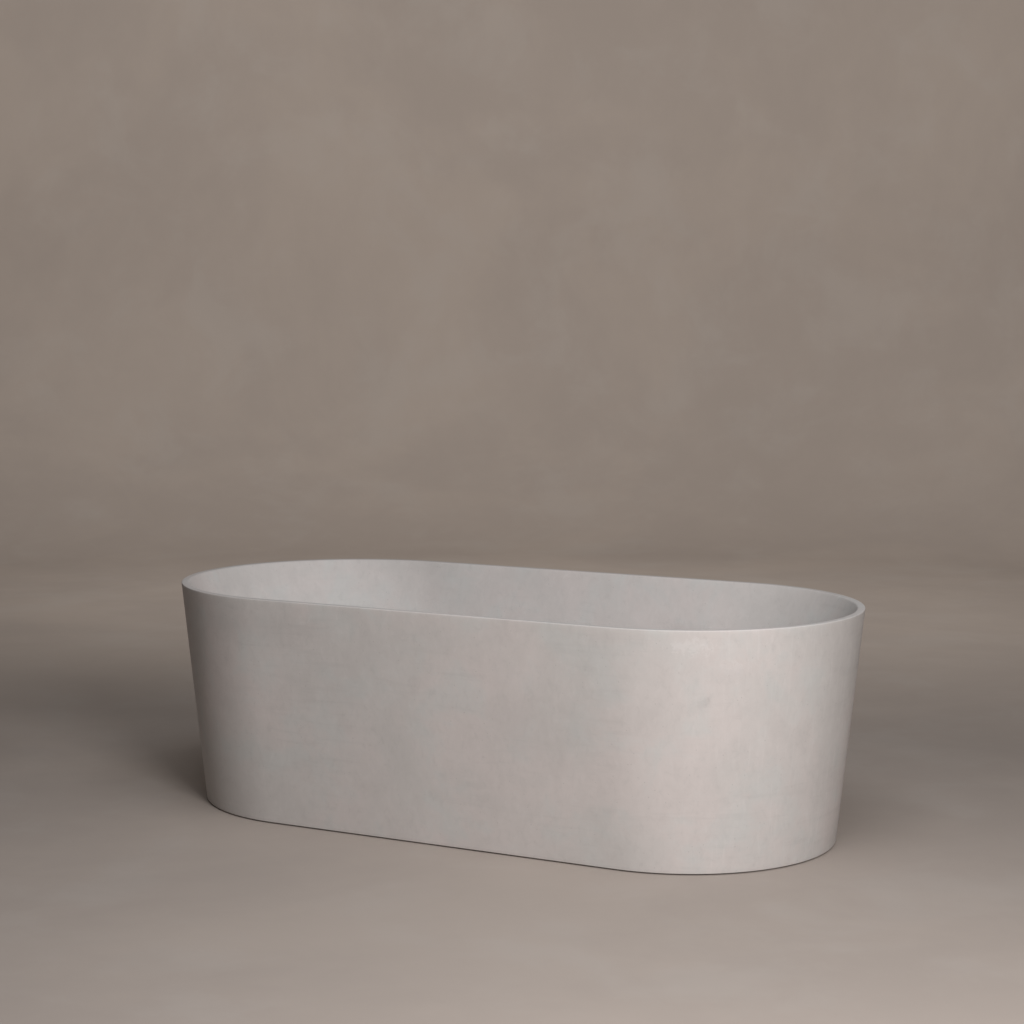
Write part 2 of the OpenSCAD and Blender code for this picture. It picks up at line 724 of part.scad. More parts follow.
// The duct's outline seen square to the wall, and its depth seen from the side, less a wall's thickness
module duct_shape(wall) {
    bottom = -duct_l + wall;
    intersection() {
        linear_extrude(100) polygon([
            [duct_half - wall, duct_top - wall], [duct_half - wall, -duct_top],
            [duct_neck_half - wall, -duct_l + duct_neck_h], [duct_neck_half - wall, bottom],
            [-duct_neck_half + wall, bottom], [-duct_neck_half + wall, -duct_l + duct_neck_h],
            [-duct_half + wall, -duct_top], [-duct_half + wall, duct_top - wall]]);
        rotate([90, 0, -90]) translate([0, 0, -100]) linear_extrude(200) polygon([
            [duct_top, duct_back + duct_slim - wall], [duct_top, duct_back], [bottom, duct_back],
            [bottom, duct_back + duct_deep - wall], [-duct_l + duct_foot_h, duct_back + duct_deep - wall],
            [-duct_l + duct_shoulder_h, duct_back + duct_slim - wall]]
            * [[-1, 0], [0, 1]]);
    }
}

module overflow_duct() {
    color("white") on_front_wall() difference() {
        union() {
            duct_shape(0);
            translate([0, -duct_l + 1, spigot_at]) rotate([90, 0, 0]) cylinder(r = port_r, h = spigot_l + 1);
        }
        intersection() {
            duct_shape(duct_wall);
            translate([-100, -duct_l - 1, duct_back + duct_wall]) cube([200, 300, 100]);
        }
        translate([0, 0, duct_back - 1]) linear_extrude(duct_wall + 2) slot_outline(slot_l, slot_h);
        translate([0, -duct_l + 5, spigot_at]) rotate([90, 0, 0]) cylinder(r = port_r - 2, h = spigot_l + 6);
    }
}

// Places along the hose's middle, each with its heading in the YZ plane; spare lengthens both ends
function hose_path(spare) = concat(
    [[hose_top + spare * [-sin(wall_angle), cos(wall_angle)], -hose_turn]],
    [for (a = [hose_turn:-hose_turn / hose_steps:0.001])
        [[bend_end_y - hose_bend_r * sin(a), port_z + hose_bend_r * (1 - cos(a))], -a]],
    [[[bend_end_y, port_z], 0]],
    [[[port_end_y + hose_grip + spare, port_z], 0]]);

module hose_core(r, spare) {
    swept([for (p = hose_path(spare)) [for (k = [0:hose_sides - 1])
        let (b = -360 * k / hose_sides)
        [r * cos(b), p[0][0] - r * sin(b) * sin(p[1]), p[0][1] + r * sin(b) * cos(p[1])]]]);
}

module overflow_hose() {
    color("lightgray") difference() {
        hose_core(hose_r, 0);
        hose_core(port_r / cos(180 / hose_sides), 1);
    }
}

module hose_clamp() {
    ring(hose_r + clamp_t, hose_r, clamp_w);
}

module hose_clamp_upper() {
    color("silver") translate([0, hose_top[0], hose_top[1]]) rotate([180 + wall_angle, 0, 0])
        translate([0, 0, 6]) hose_clamp();
}

module hose_clamp_lower() {
    color("silver") translate([0, port_end_y + 8, port_z]) rotate([-90, 0, 0]) hose_clamp();
}

// ---- Nodes ----

outer_skirt();
inner_basin();
rim_bond();
bonding_pads();
rail(-1);  // rail_front
rail(1);  // rail_back
crossbar(-1);  // crossbar_left
crossbar(1);  // crossbar_right
frame_bolts();
frame_washers();
frame_nuts();
skirt_brackets();
bracket_screws();
foot_inserts();
for (i = [0:3]) {
    foot_stud(i);
    foot_pad(i);
    foot_sole(i);
    foot_locknut(i);
}
drain_flange();
flange_seal();
waste_body();
waste_seal();
tail_pipe();
tail_seal();
tail_nut();
plug_cap();
plug_seal();
plug_stem();
plug_spring();
plug_cartridge();
overflow_trim();
overflow_gasket();
overflow_duct();
overflow_hose();
hose_clamp_upper();
hose_clamp_lower();
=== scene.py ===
import json
import math

import bmesh
import bpy
from mathutils import Matrix, Vector, noise


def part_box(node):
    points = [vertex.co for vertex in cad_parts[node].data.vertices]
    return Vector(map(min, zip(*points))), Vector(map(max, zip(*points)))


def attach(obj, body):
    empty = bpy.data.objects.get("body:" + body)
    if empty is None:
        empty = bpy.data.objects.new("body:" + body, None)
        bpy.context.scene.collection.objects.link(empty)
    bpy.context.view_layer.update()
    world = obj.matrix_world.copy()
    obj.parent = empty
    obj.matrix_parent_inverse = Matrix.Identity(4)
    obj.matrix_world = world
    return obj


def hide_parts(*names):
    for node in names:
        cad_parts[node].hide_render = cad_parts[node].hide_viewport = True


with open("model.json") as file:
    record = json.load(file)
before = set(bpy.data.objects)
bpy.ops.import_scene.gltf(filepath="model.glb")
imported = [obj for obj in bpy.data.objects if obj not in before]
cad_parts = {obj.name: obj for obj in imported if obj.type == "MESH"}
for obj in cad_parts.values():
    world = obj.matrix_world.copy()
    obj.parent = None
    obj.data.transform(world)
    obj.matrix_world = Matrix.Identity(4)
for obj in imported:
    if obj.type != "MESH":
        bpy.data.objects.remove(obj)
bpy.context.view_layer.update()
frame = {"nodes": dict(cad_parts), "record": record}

# The object is a freestanding tub: a cast basin inside a cast skirt, on a steel frame with four
# screw feet, with a push plug waste and a slot overflow. Metres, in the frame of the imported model.


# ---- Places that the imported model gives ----

def low(node):
    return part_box(node)[0]


def high(node):
    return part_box(node)[1]


def middle(node):
    return (low(node) + high(node)) / 2


RIM_Z = high("inner_basin").z
SEAM_Z = high("outer_skirt").z
SKIRT_FOOT_Z = low("outer_skirt").z
SEAM_R = high("outer_skirt").y                     # half the tub's width where skirt meets lip
SPAN = high("outer_skirt").x - SEAM_R              # from the middle to the centre of a round end
UNDER_Z = high("bonding_pads").z
BOSS_Z = high("waste_seal").z
RECESS_Z = low("flange_seal").z

# ---- Sizes of the two cast shells ----

TAPER = 0.058 / 0.55                               # how much the outside draws in for each metre down
SKIRT_WALL = 0.009
SKIRT_EDGE_R = 0.0016
BOND_LINE = 0.001
BASIN_WALL = 0.009
WALL_LEAN = math.radians(12)
END_LEAN = 0.3                                     # the ends' extra lean
FLOOR_HALF = 0.148
FLOOR_Z = RECESS_Z + 0.004
RIM_OUTER_R = 0.0025
RIM_INNER_R = 0.004
RECESS_R = 0.036
DRAIN_R = 0.0255
BOSS_R = 0.046

# ---- Sizes of the fittings ----

SEAT_R = 0.025
SEAT_H = 0.006
NECK_R = 0.0252
NECK_H = 0.008
TAIL_R = 0.024
TAIL_PITCH = 0.0021
THROAT_R = 0.0215
CARTRIDGE_R = 0.0083
CAP_T = 0.0045
STOPPER_R = 0.0204
OVERFLOW_Z = RIM_Z - 0.09
SLOT_L = 0.06
SLOT_H = 0.01
HOSE_R = 0.01
HOSE_BEND_R = 0.08
STUD_R = 0.006
STUD_PITCH = 0.00175
BALL_R = 0.007
PAD_L = 0.08
PAD_STEP = 0.16

LEVEL_WALL = BASIN_WALL / math.cos(WALL_LEAN)
RIM_IN = (SEAM_R - SKIRT_WALL - BOND_LINE - LEVEL_WALL
          + math.tan(WALL_LEAN) * (RIM_Z - SEAM_Z))
CORNER_R = ((RIM_IN - math.tan(WALL_LEAN) * (RIM_Z - FLOOR_Z) - FLOOR_HALF)
            / (math.cos(WALL_LEAN) - math.tan(WALL_LEAN) * (1 - math.sin(WALL_LEAN))))


def skirt_out(z):
    return SEAM_R - TAPER * (SEAM_Z - z)


def basin_in(z):
    return RIM_IN - math.tan(WALL_LEAN) * (RIM_Z - z)


# ---- Mesh tools ----

def steps(start, end, count):
    """The values from start to end in even steps, without the last one."""
    return [start + (end - start) * i / count for i in range(count)]


def arc(centre, radius, start, end, count):
    """Points of an arc, with its angles in degrees, both ends included."""
    turns = steps(start, end, count) + [end]
    return [(centre[0] + radius * math.cos(math.radians(a)),
             centre[1] + radius * math.sin(math.radians(a))) for a in turns]


def rounded(points, radius, count=4, closed=True):
    """The outline with each corner cut by a small arc-like curve of up to that radius."""
    result = []
    last = len(points)
    for i, here in enumerate(points):
        if not closed and i in (0, last - 1):
            result.append(here)
            continue
        here = Vector(here)
        before = Vector(points[i - 1]) - here
        after = Vector(points[(i + 1) % last]) - here
        reach = min(radius, before.length * 0.45, after.length * 0.45)
        a = here + before.normalized() * reach
        b = here + after.normalized() * reach
        for k in range(count + 1):
            t = k / count
            result.append(tuple(a * (1 - t) ** 2 + here * 2 * t * (1 - t) + b * t ** 2))
    return result


def round_track(ends, sides):
    """Stations round a track with two straight sides, anticlockwise: a share of the side, or an angle."""
    stations = [("front", t) for t in steps(-1, 1, sides)]
    stations += [("right", a) for a in steps(-90, 90, ends)]
    stations += [("back", t) for t in steps(1, -1, sides)]
    stations += [("left", a) for a in steps(90, 270, ends)]
    return stations


def track_point(station, radius, span, z):
    stretch, value = station
    if stretch in ("front", "back"):
        return Vector((value * span, radius if stretch == "back" else -radius, z))
    a = math.radians(value)
    centre = span if stretch == "right" else -span
    return Vector((centre + radius * math.cos(a), radius * math.sin(a), z))


def loft(bm, rings, closed=False):
    """Skins a row of rings of points that all have the same count."""
    rows = [[bm.verts.new(p) for p in ring] for ring in rings]
    pairs = list(zip(rows, rows[1:]))
    if closed:
        pairs.append((rows[-1], rows[0]))
    for a, b in pairs:
        for i in range(len(a)):
            j = (i + 1) % len(a)
            bm.faces.new((a[i], a[j], b[j], b[i]))
    return rows


def cap(bm, row, centre):
    """Closes a ring with a fan round its centre."""
    tip = bm.verts.new(centre)
    for i in range(len(row)):
        bm.faces.new((row[i], row[(i + 1) % len(row)], tip))


def finished(name, bm, material, sharp=35, body="tub"):
    """Turns a bmesh into a smooth-shaded piece that rides on a body."""
    bmesh.ops.recalc_face_normals(bm, faces=bm.faces)
    mesh = bpy.data.meshes.new(name)
    bm.to_mesh(mesh)
    bm.free()
    mesh.shade_smooth()
    mesh.set_sharp_from_angle(angle=math.radians(sharp))
    mesh.materials.append(material)
    piece = bpy.data.objects.new(name, mesh)
    bpy.context.scene.collection.objects.link(piece)
    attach(piece, body)
    return piece


def standing_in(piece, slot_name, *nodes):
    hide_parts(*nodes)
    return piece


# ---- Shader tools ----

class Graph:
    """Adds nodes to a tree, with their inputs given as values or as other nodes' outputs."""

    def __init__(self, tree):
        self.tree = tree

    def add(self, kind, inputs=None, **settings):
        made = self.tree.nodes.new(kind)
        for key, value in settings.items():
            setattr(made, key, value)
        for key, value in (inputs or {}).items():
            if isinstance(value, bpy.types.NodeSocket):
                self.tree.links.new(value, made.inputs[key])
            else:
                made.inputs[key].default_value = value
        return made

    def noise(self, vector, scale, detail=3.0, rough=0.5, distortion=0.0):
        made = self.add("ShaderNodeTexNoise", {
            "Vector": vector, "Scale": scale, "Detail": detail, "Roughness": rough,
            "Distortion": distortion})
        return made.outputs[0]

    def stretch(self, vector, scale):
        return self.add("ShaderNodeMapping", {"Vector": vector, "Scale": scale}).outputs[0]

    def span(self, value, low_in, high_in, low_out=0.0, high_out=1.0):
        made = self.add("ShaderNodeMapRange", {
            "Value": value, "From Min": low_in, "From Max": high_in, "To Min": low_out,
            "To Max": high_out}, interpolation_type="SMOOTHSTEP")
        return made.outputs[0]

    def math(self, operation, a, b=0.0):
        return self.add("ShaderNodeMath", {0: a, 1: b}, operation=operation).outputs[0]

    def mix(self, share, a, b, blend="MIX"):
        made = self.add("ShaderNodeMix", {0: share, 6: a, 7: b}, data_type="RGBA", blend_type=blend)
        return made.outputs[2]

    def axes(self, vector):
        return self.add("ShaderNodeSeparateXYZ", {0: vector}).outputs


def group(name, inputs, outputs):
    """A node group with named sockets. Returns its tree, its graph, its inputs and its output node."""
    tree = bpy.data.node_groups.new(name, "ShaderNodeTree")
    for label, (kind, value) in inputs.items():
        made = tree.interface.new_socket(name=label, in_out="INPUT", socket_type=kind)
        if value is not None:
            made.default_value = value
    for label, kind in outputs.items():
        tree.interface.new_socket(name=label, in_out="OUTPUT", socket_type=kind)
    graph = Graph(tree)
    return tree, graph, graph.add("NodeGroupInput").outputs, graph.add("NodeGroupOutput")


FLOAT, COLOUR, VECTOR = "NodeSocketFloat", "NodeSocketColor", "NodeSocketVector"


def make_clouding():
    """Soft clouds of two tints, as in stone cast by hand: broad ones, and smaller smudges on them."""
    tree, g, given, out = group("clouding", {
        "Vector": (VECTOR, None), "Base": (COLOUR, (0.6, 0.58, 0.56, 1)),
        "Warm": (COLOUR, (0.62, 0.57, 0.55, 1)), "Cool": (COLOUR, (0.55, 0.57, 0.55, 1)),
        "Strength": (FLOAT, 0.5)}, {"Color": COLOUR, "Cloud": FLOAT})
    vector = given["Vector"]
    broad = g.noise(vector, 2.6, 4.0, 0.55, 0.7)
    patch = g.noise(vector, 8.5, 5.0, 0.6, 0.4)
    smudge = g.noise(g.stretch(vector, (1.0, 1.0, 0.6)), 24.0, 4.0, 0.62, 0.8)
    warm = g.math("MULTIPLY", g.span(broad, 0.42, 0.66), given["Strength"])
    cool = g.math("MULTIPLY", g.span(patch, 0.48, 0.68), given["Strength"])
    tinted = g.mix(cool, g.mix(warm, given["Base"], given["Warm"]), given["Cool"])
    cloud = g.math("ADD", g.math("MULTIPLY", broad, 0.4),
                   g.math("ADD", g.math("MULTIPLY", patch, 0.35), g.math("MULTIPLY", smudge, 0.25)))
    shade = g.span(cloud, 0.36, 0.64, 0.9, 1.06)
    shaded = g.mix(given["Strength"], tinted,
                   g.add("ShaderNodeVectorMath", {0: tinted, 1: g.add(
                       "ShaderNodeCombineXYZ", {0: shade, 1: shade, 2: shade}).outputs[0]},
                       operation="MULTIPLY").outputs[0])
    g.tree.links.new(shaded, out.inputs["Color"])
    g.tree.links.new(cloud, out.inputs["Cloud"])
    return tree


def make_trowel_marks():
    """Faint upright runs and level strokes left by the smoothing of a cast face."""
    tree, g, given, out = group("trowel_marks", {
        "Vector": (VECTOR, None), "Runs": (FLOAT, 1.0)}, {"Marks": FLOAT, "Runs": FLOAT})
    vector = given["Vector"]
    level = g.noise(g.stretch(vector, (5.0, 5.0, 60.0)), 1.0, 4.0, 0.6, 0.6)
    upright = g.noise(g.stretch(vector, (70.0, 70.0, 5.0)), 1.0, 4.0, 0.6, 1.2)
    where = g.noise(vector, 4.0, 2.0, 0.5)
    marks = g.math("MULTIPLY", g.span(level, 0.5, 0.72), g.span(where, 0.45, 0.6))
    runs = g.math("MULTIPLY", g.span(upright, 0.52, 0.74), given["Runs"])
    g.tree.links.new(marks, out.inputs["Marks"])
    g.tree.links.new(runs, out.inputs["Runs"])
    return tree


def make_hand_mark():
    """One soft-edged mark at a place, broken up by fine noise."""
    tree, g, given, out = group("hand_mark", {
        "Vector": (VECTOR, None), "Place": (VECTOR, (0, 0, 0)), "Size": (VECTOR, (0.02, 0.02, 0.02)),
        "Broken": (FLOAT, 0.6)}, {"Mark": FLOAT})
    offset = g.add("ShaderNodeVectorMath", {0: given["Vector"], 1: given["Place"]},
                   operation="SUBTRACT").outputs[0]
    scaled = g.add("ShaderNodeVectorMath", {0: offset, 1: given["Size"]}, operation="DIVIDE").outputs[0]
    reach = g.add("ShaderNodeVectorMath", {0: scaled}, operation="LENGTH").outputs["Value"]
    ragged = g.math("MULTIPLY", g.math("SUBTRACT", g.noise(given["Vector"], 70.0, 6.0, 0.7, 1.0), 0.5), 2.0)
    edge = g.math("ADD", reach, g.math("MULTIPLY", ragged, given["Broken"]))
    g.tree.links.new(g.span(edge, 0.25, 1.15, 1.0, 0.0), out.inputs["Mark"])
    return tree


def make_pores():
    """Grain of a cast or moulded face, with a scatter of small pin holes."""
    tree, g, given, out = group("pores", {
        "Vector": (VECTOR, None), "Grain": (FLOAT, 900.0), "Holes": (FLOAT, 160.0),
        "Share": (FLOAT, 0.1)}, {"Height": FLOAT, "Hole": FLOAT})
    vector = given["Vector"]
    grain = g.add("ShaderNodeTexNoise", {
        "Vector": vector, "Scale": given["Grain"], "Detail": 3.0, "Roughness": 0.6}).outputs[0]
    cells = g.add("ShaderNodeTexVoronoi", {"Vector": vector, "Scale": given["Holes"]})
    pick = g.axes(cells.outputs["Color"])[0]
    chosen = g.math("LESS_THAN", pick, given["Share"])
    hole = g.math("MULTIPLY", g.span(cells.outputs["Distance"], 0.1, 0.24, 1.0, 0.0), chosen)
    height = g.math("SUBTRACT", g.math("MULTIPLY", grain, 0.25), hole)
    g.tree.links.new(height, out.inputs["Height"])
    g.tree.links.new(hole, out.inputs["Hole"])
    return tree


def make_turned_lines():
    """Fine rings round an upright axis, as left by turning or by a buffing wheel."""
    tree, g, given, out = group("turned_lines", {
        "Vector": (VECTOR, None), "Fineness": (FLOAT, 1500.0)}, {"Lines": FLOAT})
    x, y, z = g.axes(given["Vector"])
    reach = g.math("SQRT", g.math("ADD", g.math("MULTIPLY", x, x), g.math("MULTIPLY", y, y)))
    along = g.add("ShaderNodeCombineXYZ", {
        0: g.math("MULTIPLY", reach, given["Fineness"]), 1: g.math("MULTIPLY", z, given["Fineness"])})
    lines = g.noise(along.outputs[0], 1.0, 2.0, 0.7)
    g.tree.links.new(lines, out.inputs["Lines"])
    return tree


def make_brushed_lines():
    """Fine straight scratches along X."""
    tree, g, given, out = group("brushed_lines", {
        "Vector": (VECTOR, None), "Fineness": (FLOAT, 1400.0)}, {"Lines": FLOAT})
    scaled = g.add("ShaderNodeVectorMath", {0: given["Vector"], 1: (0.02, 1.0, 1.0)}, operation="MULTIPLY")
    fine = g.add("ShaderNodeTexNoise", {
        "Vector": scaled.outputs[0], "Scale": given["Fineness"], "Detail": 2.0}).outputs[0]
    g.tree.links.new(fine, out.inputs["Lines"])
    return tree


def make_settled_dust():
    """Dust that lies on faces that look up, more in some places than others."""
    tree, g, given, out = group("settled_dust", {
        "Vector": (VECTOR, None), "Normal": (VECTOR, None), "Amount": (FLOAT, 0.4)}, {"Dust": FLOAT})
    up = g.span(g.axes(given["Normal"])[2], 0.2, 0.95)
    drift = g.span(g.noise(given["Vector"], 30.0, 5.0, 0.65), 0.35, 0.75)
    dust = g.math("MULTIPLY", g.math("MULTIPLY", up, drift), given["Amount"])
    g.tree.links.new(dust, out.inputs["Dust"])
    return tree


CLOUDING = make_clouding()
TROWEL_MARKS = make_trowel_marks()
HAND_MARK = make_hand_mark()
PORES = make_pores()
TURNED_LINES = make_turned_lines()
BRUSHED_LINES = make_brushed_lines()
SETTLED_DUST = make_settled_dust()


def new_material(name, **surface):
    """A material with a Principled surface. Returns it, its graph, its surface and its coordinates."""
    material = bpy.data.materials.new(name)
    material.use_nodes = True
    g = Graph(material.node_tree)
    shader = material.node_tree.nodes["Principled BSDF"]
    for key, value in surface.items():
        shader.inputs[key.replace("_", " ")].default_value = value
    vector = g.add("ShaderNodeTexCoord").outputs["Object"]
    return material, g, shader, vector


def place(g, tree, **inputs):
    """Puts a shared group into a material. A name's underscores stand for spaces."""
    named = {k.replace("_", " "): v for k, v in inputs.items()}
    return g.add("ShaderNodeGroup", named, node_tree=tree).outputs


def bump(g, shader, height, distance, strength=1.0):
    made = g.add("ShaderNodeBump", {"Height": height, "Distance": distance, "Strength": strength})
    g.tree.links.new(made.outputs[0], shader.inputs["Normal"])


# ---- Materials ----

# Marks left on the stone by hands and cloths: place, size, how broken, strength and tint
STONE_MARKS = [
    ((0.66, -0.352, 0.394), (0.009, 0.009, 0.012), 0.9, 0.22, "dark"),
    ((0.669, -0.348, 0.404), (0.008, 0.008, 0.009), 1.1, 0.13, "dark"),
    ((0.65, -0.356, 0.385), (0.013, 0.013, 0.01), 1.2, 0.12, "dark"),
    ((0.64, -0.36, 0.38), (0.035, 0.035, 0.022), 1.3, 0.1, "dark"),
    ((0.705, -0.328, 0.46), (0.03, 0.03, 0.022), 2.6, 0.34, "pale"),
    ((0.7, -0.33, 0.452), (0.03, 0.03, 0.02), 2.4, 0.16, "dark"),
    ((0.64, -0.376, 0.515), (0.05, 0.05, 0.018), 2.6, 0.32, "pale"),
    ((0.25, -0.4, 0.3), (0.2, 0.2, 0.1), 0.6, 0.1, "dark"),
    ((-0.45, -0.41, 0.48), (0.25, 0.25, 0.05), 0.8, 0.14, "dark"),
    ((-0.5, 0.38, 0.3), (0.12, 0.12, 0.05), 1.2, 0.15, "pale"),
    ((0.3, 0.39, 0.42), (0.09, 0.09, 0.03), 1.4, 0.18, "dark"),
]


def cast_stone():
    """Matt stone cast by hand: clouds, trowel strokes, upright runs, wiped patches and small pin holes."""
    material, g, shader, vector = new_material("cast_stone", Specular_IOR_Level=0.32)
    x, y, z = g.axes(vector)
    pale, dark = (0.69, 0.67, 0.66, 1), (0.36, 0.35, 0.345, 1)
    clouds = place(g, CLOUDING, Vector=vector, Base=(0.57, 0.55, 0.535, 1), Warm=(0.6, 0.55, 0.535, 1),
                   Cool=(0.525, 0.535, 0.525, 1), Strength=0.62)
    right_end = g.span(x, 0.45, 0.8)
    runs = g.math("ADD", g.math("MULTIPLY", right_end, 0.8), 0.15)
    marks = place(g, TROWEL_MARKS, Vector=vector, Runs=runs)
    pores = place(g, PORES, Vector=vector, Grain=1100.0, Holes=140.0, Share=0.05)
    mottle = g.noise(g.stretch(vector, (1.0, 1.0, 0.8)), 55.0, 7.0, 0.72, 0.6)
    surface = g.mix(g.span(mottle, 0.3, 0.5, 0.16, 0.0), clouds["Color"], dark)
    surface = g.mix(g.span(mottle, 0.52, 0.75, 0.0, 0.22), surface, pale)
    surface = g.mix(g.math("MULTIPLY", marks["Runs"], 0.26), surface, pale)
    surface = g.mix(g.math("MULTIPLY", marks["Marks"], 0.14), surface, dark)
    wisp = g.noise(g.stretch(vector, (9.0, 9.0, 6.0)), 3.0, 6.0, 0.7, 1.6)
    wisps = g.math("MULTIPLY", g.span(wisp, 0.58, 0.76), g.math("MULTIPLY", g.span(z, 0.3, 0.5), 0.3))
    surface = g.mix(wisps, surface, pale)
    for where, size, broken, strength, tint in STONE_MARKS:
        mark = place(g, HAND_MARK, Vector=vector, Place=where, Size=size, Broken=broken)["Mark"]
        surface = g.mix(g.math("MULTIPLY", mark, strength), surface, pale if tint == "pale" else dark)
    # The pin holes are mixed towards dark: painted shade inside the holes.
    surface = g.mix(g.math("MULTIPLY", pores["Hole"], 0.5), surface, dark)
    g.tree.links.new(surface, shader.inputs["Base Color"])
    rough = g.span(clouds["Cloud"], 0.35, 0.65, 0.6, 0.76)
    rough = g.math("ADD", rough, g.math("MULTIPLY", marks["Marks"], -0.08))
    g.tree.links.new(rough, shader.inputs["Roughness"])
    relief = g.math("ADD", pores["Height"], g.math("ADD", g.math("MULTIPLY", marks["Runs"], 0.5), mottle))
    bump(g, shader, relief, 0.0003, 0.5)
    return material


def cured_resin():
    material, g, shader, vector = new_material("cured_resin", Roughness=0.5)
    clouds = place(g, CLOUDING, Vector=vector, Base=(0.62, 0.55, 0.42, 1), Warm=(0.6, 0.5, 0.34, 1),
                   Cool=(0.66, 0.6, 0.5, 1), Strength=0.7)
    g.tree.links.new(clouds["Color"], shader.inputs["Base Color"])
    pores = place(g, PORES, Vector=vector, Grain=700.0, Holes=260.0, Share=0.25)
    bump(g, shader, pores["Height"], 0.0004, 0.6)
    return material


def galvanised_steel():
    material, g, shader, vector = new_material("galvanised_steel", Metallic=0.9)
    spangle = g.add("ShaderNodeTexVoronoi", {"Vector": vector, "Scale": 90.0})
    facet = g.axes(spangle.outputs["Color"])[0]
    base = g.mix(facet, (0.5, 0.52, 0.54, 1), (0.66, 0.67, 0.68, 1))
    dust = place(g, SETTLED_DUST, Vector=vector, Normal=g.add("ShaderNodeNewGeometry").outputs["Normal"],
                 Amount=0.5)["Dust"]
    g.tree.links.new(g.mix(dust, base, (0.5, 0.48, 0.45, 1)), shader.inputs["Base Color"])
    g.tree.links.new(g.math("ADD", g.span(facet, 0.0, 1.0, 0.3, 0.5), g.math("MULTIPLY", dust, 0.4)),
                     shader.inputs["Roughness"])
    bump(g, shader, facet, 0.00005, 0.3)
    return material


def zinc_plate():
    material, g, shader, vector = new_material("zinc_plate", Metallic=1.0)
    haze = g.noise(vector, 120.0, 4.0, 0.6)
    g.tree.links.new(g.mix(haze, (0.6, 0.6, 0.56, 1), (0.7, 0.68, 0.62, 1)), shader.inputs["Base Color"])
    lines = place(g, TURNED_LINES, Vector=vector, Fineness=2200.0)["Lines"]
    g.tree.links.new(g.span(haze, 0.3, 0.7, 0.26, 0.42), shader.inputs["Roughness"])
    bump(g, shader, lines, 0.00003, 0.3)
    return material


def turned_brass():
    material, g, shader, vector = new_material("turned_brass", Metallic=1.0)
    tarnish = g.noise(vector, 90.0, 5.0, 0.65)
    g.tree.links.new(g.mix(g.span(tarnish, 0.4, 0.7), (0.78, 0.6, 0.3, 1), (0.5, 0.36, 0.18, 1)),
                     shader.inputs["Base Color"])
    g.tree.links.new(g.span(tarnish, 0.3, 0.7, 0.24, 0.5), shader.inputs["Roughness"])
    bump(g, shader, place(g, TURNED_LINES, Vector=vector, Fineness=1800.0)["Lines"], 0.00003, 0.3)
    return material


def brushed_steel():
    material, g, shader, vector = new_material("brushed_steel", Metallic=1.0)
    lines = place(g, TURNED_LINES, Vector=vector, Fineness=1500.0)["Lines"]
    film = g.noise(vector, 45.0, 4.0, 0.6, 0.5)
    g.tree.links.new(g.mix(film, (0.56, 0.54, 0.51, 1), (0.66, 0.64, 0.61, 1)), shader.inputs["Base Color"])
    g.tree.links.new(g.math("ADD", g.span(film, 0.3, 0.75, 0.24, 0.36), g.math("MULTIPLY", lines, 0.1)),
                     shader.inputs["Roughness"])
    bump(g, shader, lines, 0.00002, 0.4)
    return material


def bright_steel():
    material, g, shader, vector = new_material("bright_steel", Metallic=1.0)
    lines = place(g, BRUSHED_LINES, Vector=vector, Fineness=1600.0)["Lines"]
    metal = g.mix(lines, (0.66, 0.66, 0.67, 1), (0.76, 0.76, 0.76, 1))
    g.tree.links.new(metal, shader.inputs["Base Color"])
    g.tree.links.new(g.span(lines, 0.3, 0.7, 0.18, 0.32), shader.inputs["Roughness"])
    bump(g, shader, lines, 0.00002, 0.25)
    return material


def moulded(name, base, warm, cool, low_rough, high_rough, grain):
    """A moulded plastic or rubber: faint flow clouds, an even grain and some settled dust."""
    material, g, shader, vector = new_material(name)
    clouds = place(g, CLOUDING, Vector=vector, Base=base, Warm=warm, Cool=cool, Strength=0.5)
    dust = place(g, SETTLED_DUST, Vector=vector, Normal=g.add("ShaderNodeNewGeometry").outputs["Normal"],
                 Amount=0.25)["Dust"]
    g.tree.links.new(g.mix(dust, clouds["Color"], (0.5, 0.47, 0.43, 1)), shader.inputs["Base Color"])
    g.tree.links.new(g.span(clouds["Cloud"], 0.35, 0.65, low_rough, high_rough), shader.inputs["Roughness"])
    pores = place(g, PORES, Vector=vector, Grain=grain, Holes=300.0, Share=0.02)
    bump(g, shader, pores["Height"], 0.0001, 0.4)
    return material


def black_rubber():
    return moulded("black_rubber", (0.03, 0.03, 0.031, 1), (0.04, 0.037, 0.035, 1),
                   (0.024, 0.025, 0.027, 1),
                   0.62, 0.8, 1600.0)


def black_plastic():
    return moulded("black_plastic", (0.05, 0.05, 0.052, 1), (0.06, 0.055, 0.05, 1), (0.04, 0.043, 0.046, 1),
                   0.38, 0.52, 2200.0)


def white_plastic():
    return moulded("white_plastic", (0.78, 0.78, 0.76, 1), (0.8, 0.77, 0.71, 1), (0.74, 0.77, 0.78, 1),
                   0.24, 0.38, 2600.0)


def hose_plastic():
    return moulded("hose_plastic", (0.5, 0.51, 0.52, 1), (0.52, 0.5, 0.47, 1), (0.45, 0.48, 0.5, 1),
                   0.36, 0.5, 2000.0)


MATERIALS = {
    "cast_stone": cast_stone(),
    "resin": cured_resin(),
    "galvanised_steel": galvanised_steel(),
    "zinc_steel": zinc_plate(),
    "brass": turned_brass(),
    "pad_plastic": black_plastic(),
    "rubber": black_rubber(),
    "white_plastic": white_plastic(),
    "brushed_steel": brushed_steel(),
    "bright_steel": bright_steel(),
    "hose_plastic": hose_plastic(),
}


def dress_cad_nodes():
    """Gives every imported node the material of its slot."""
    for part in frame["record"]["subparts"]:
        mesh = frame["nodes"][part["node"]].data
        mesh.materials.clear()
        mesh.materials.append(MATERIALS[part["material_slot"]])


# ---- The two cast shells ----

TRACK = round_track(96, 48)


def straight_ring(radius, z):
    return [track_point(s, radius, SPAN, z) for s in TRACK]


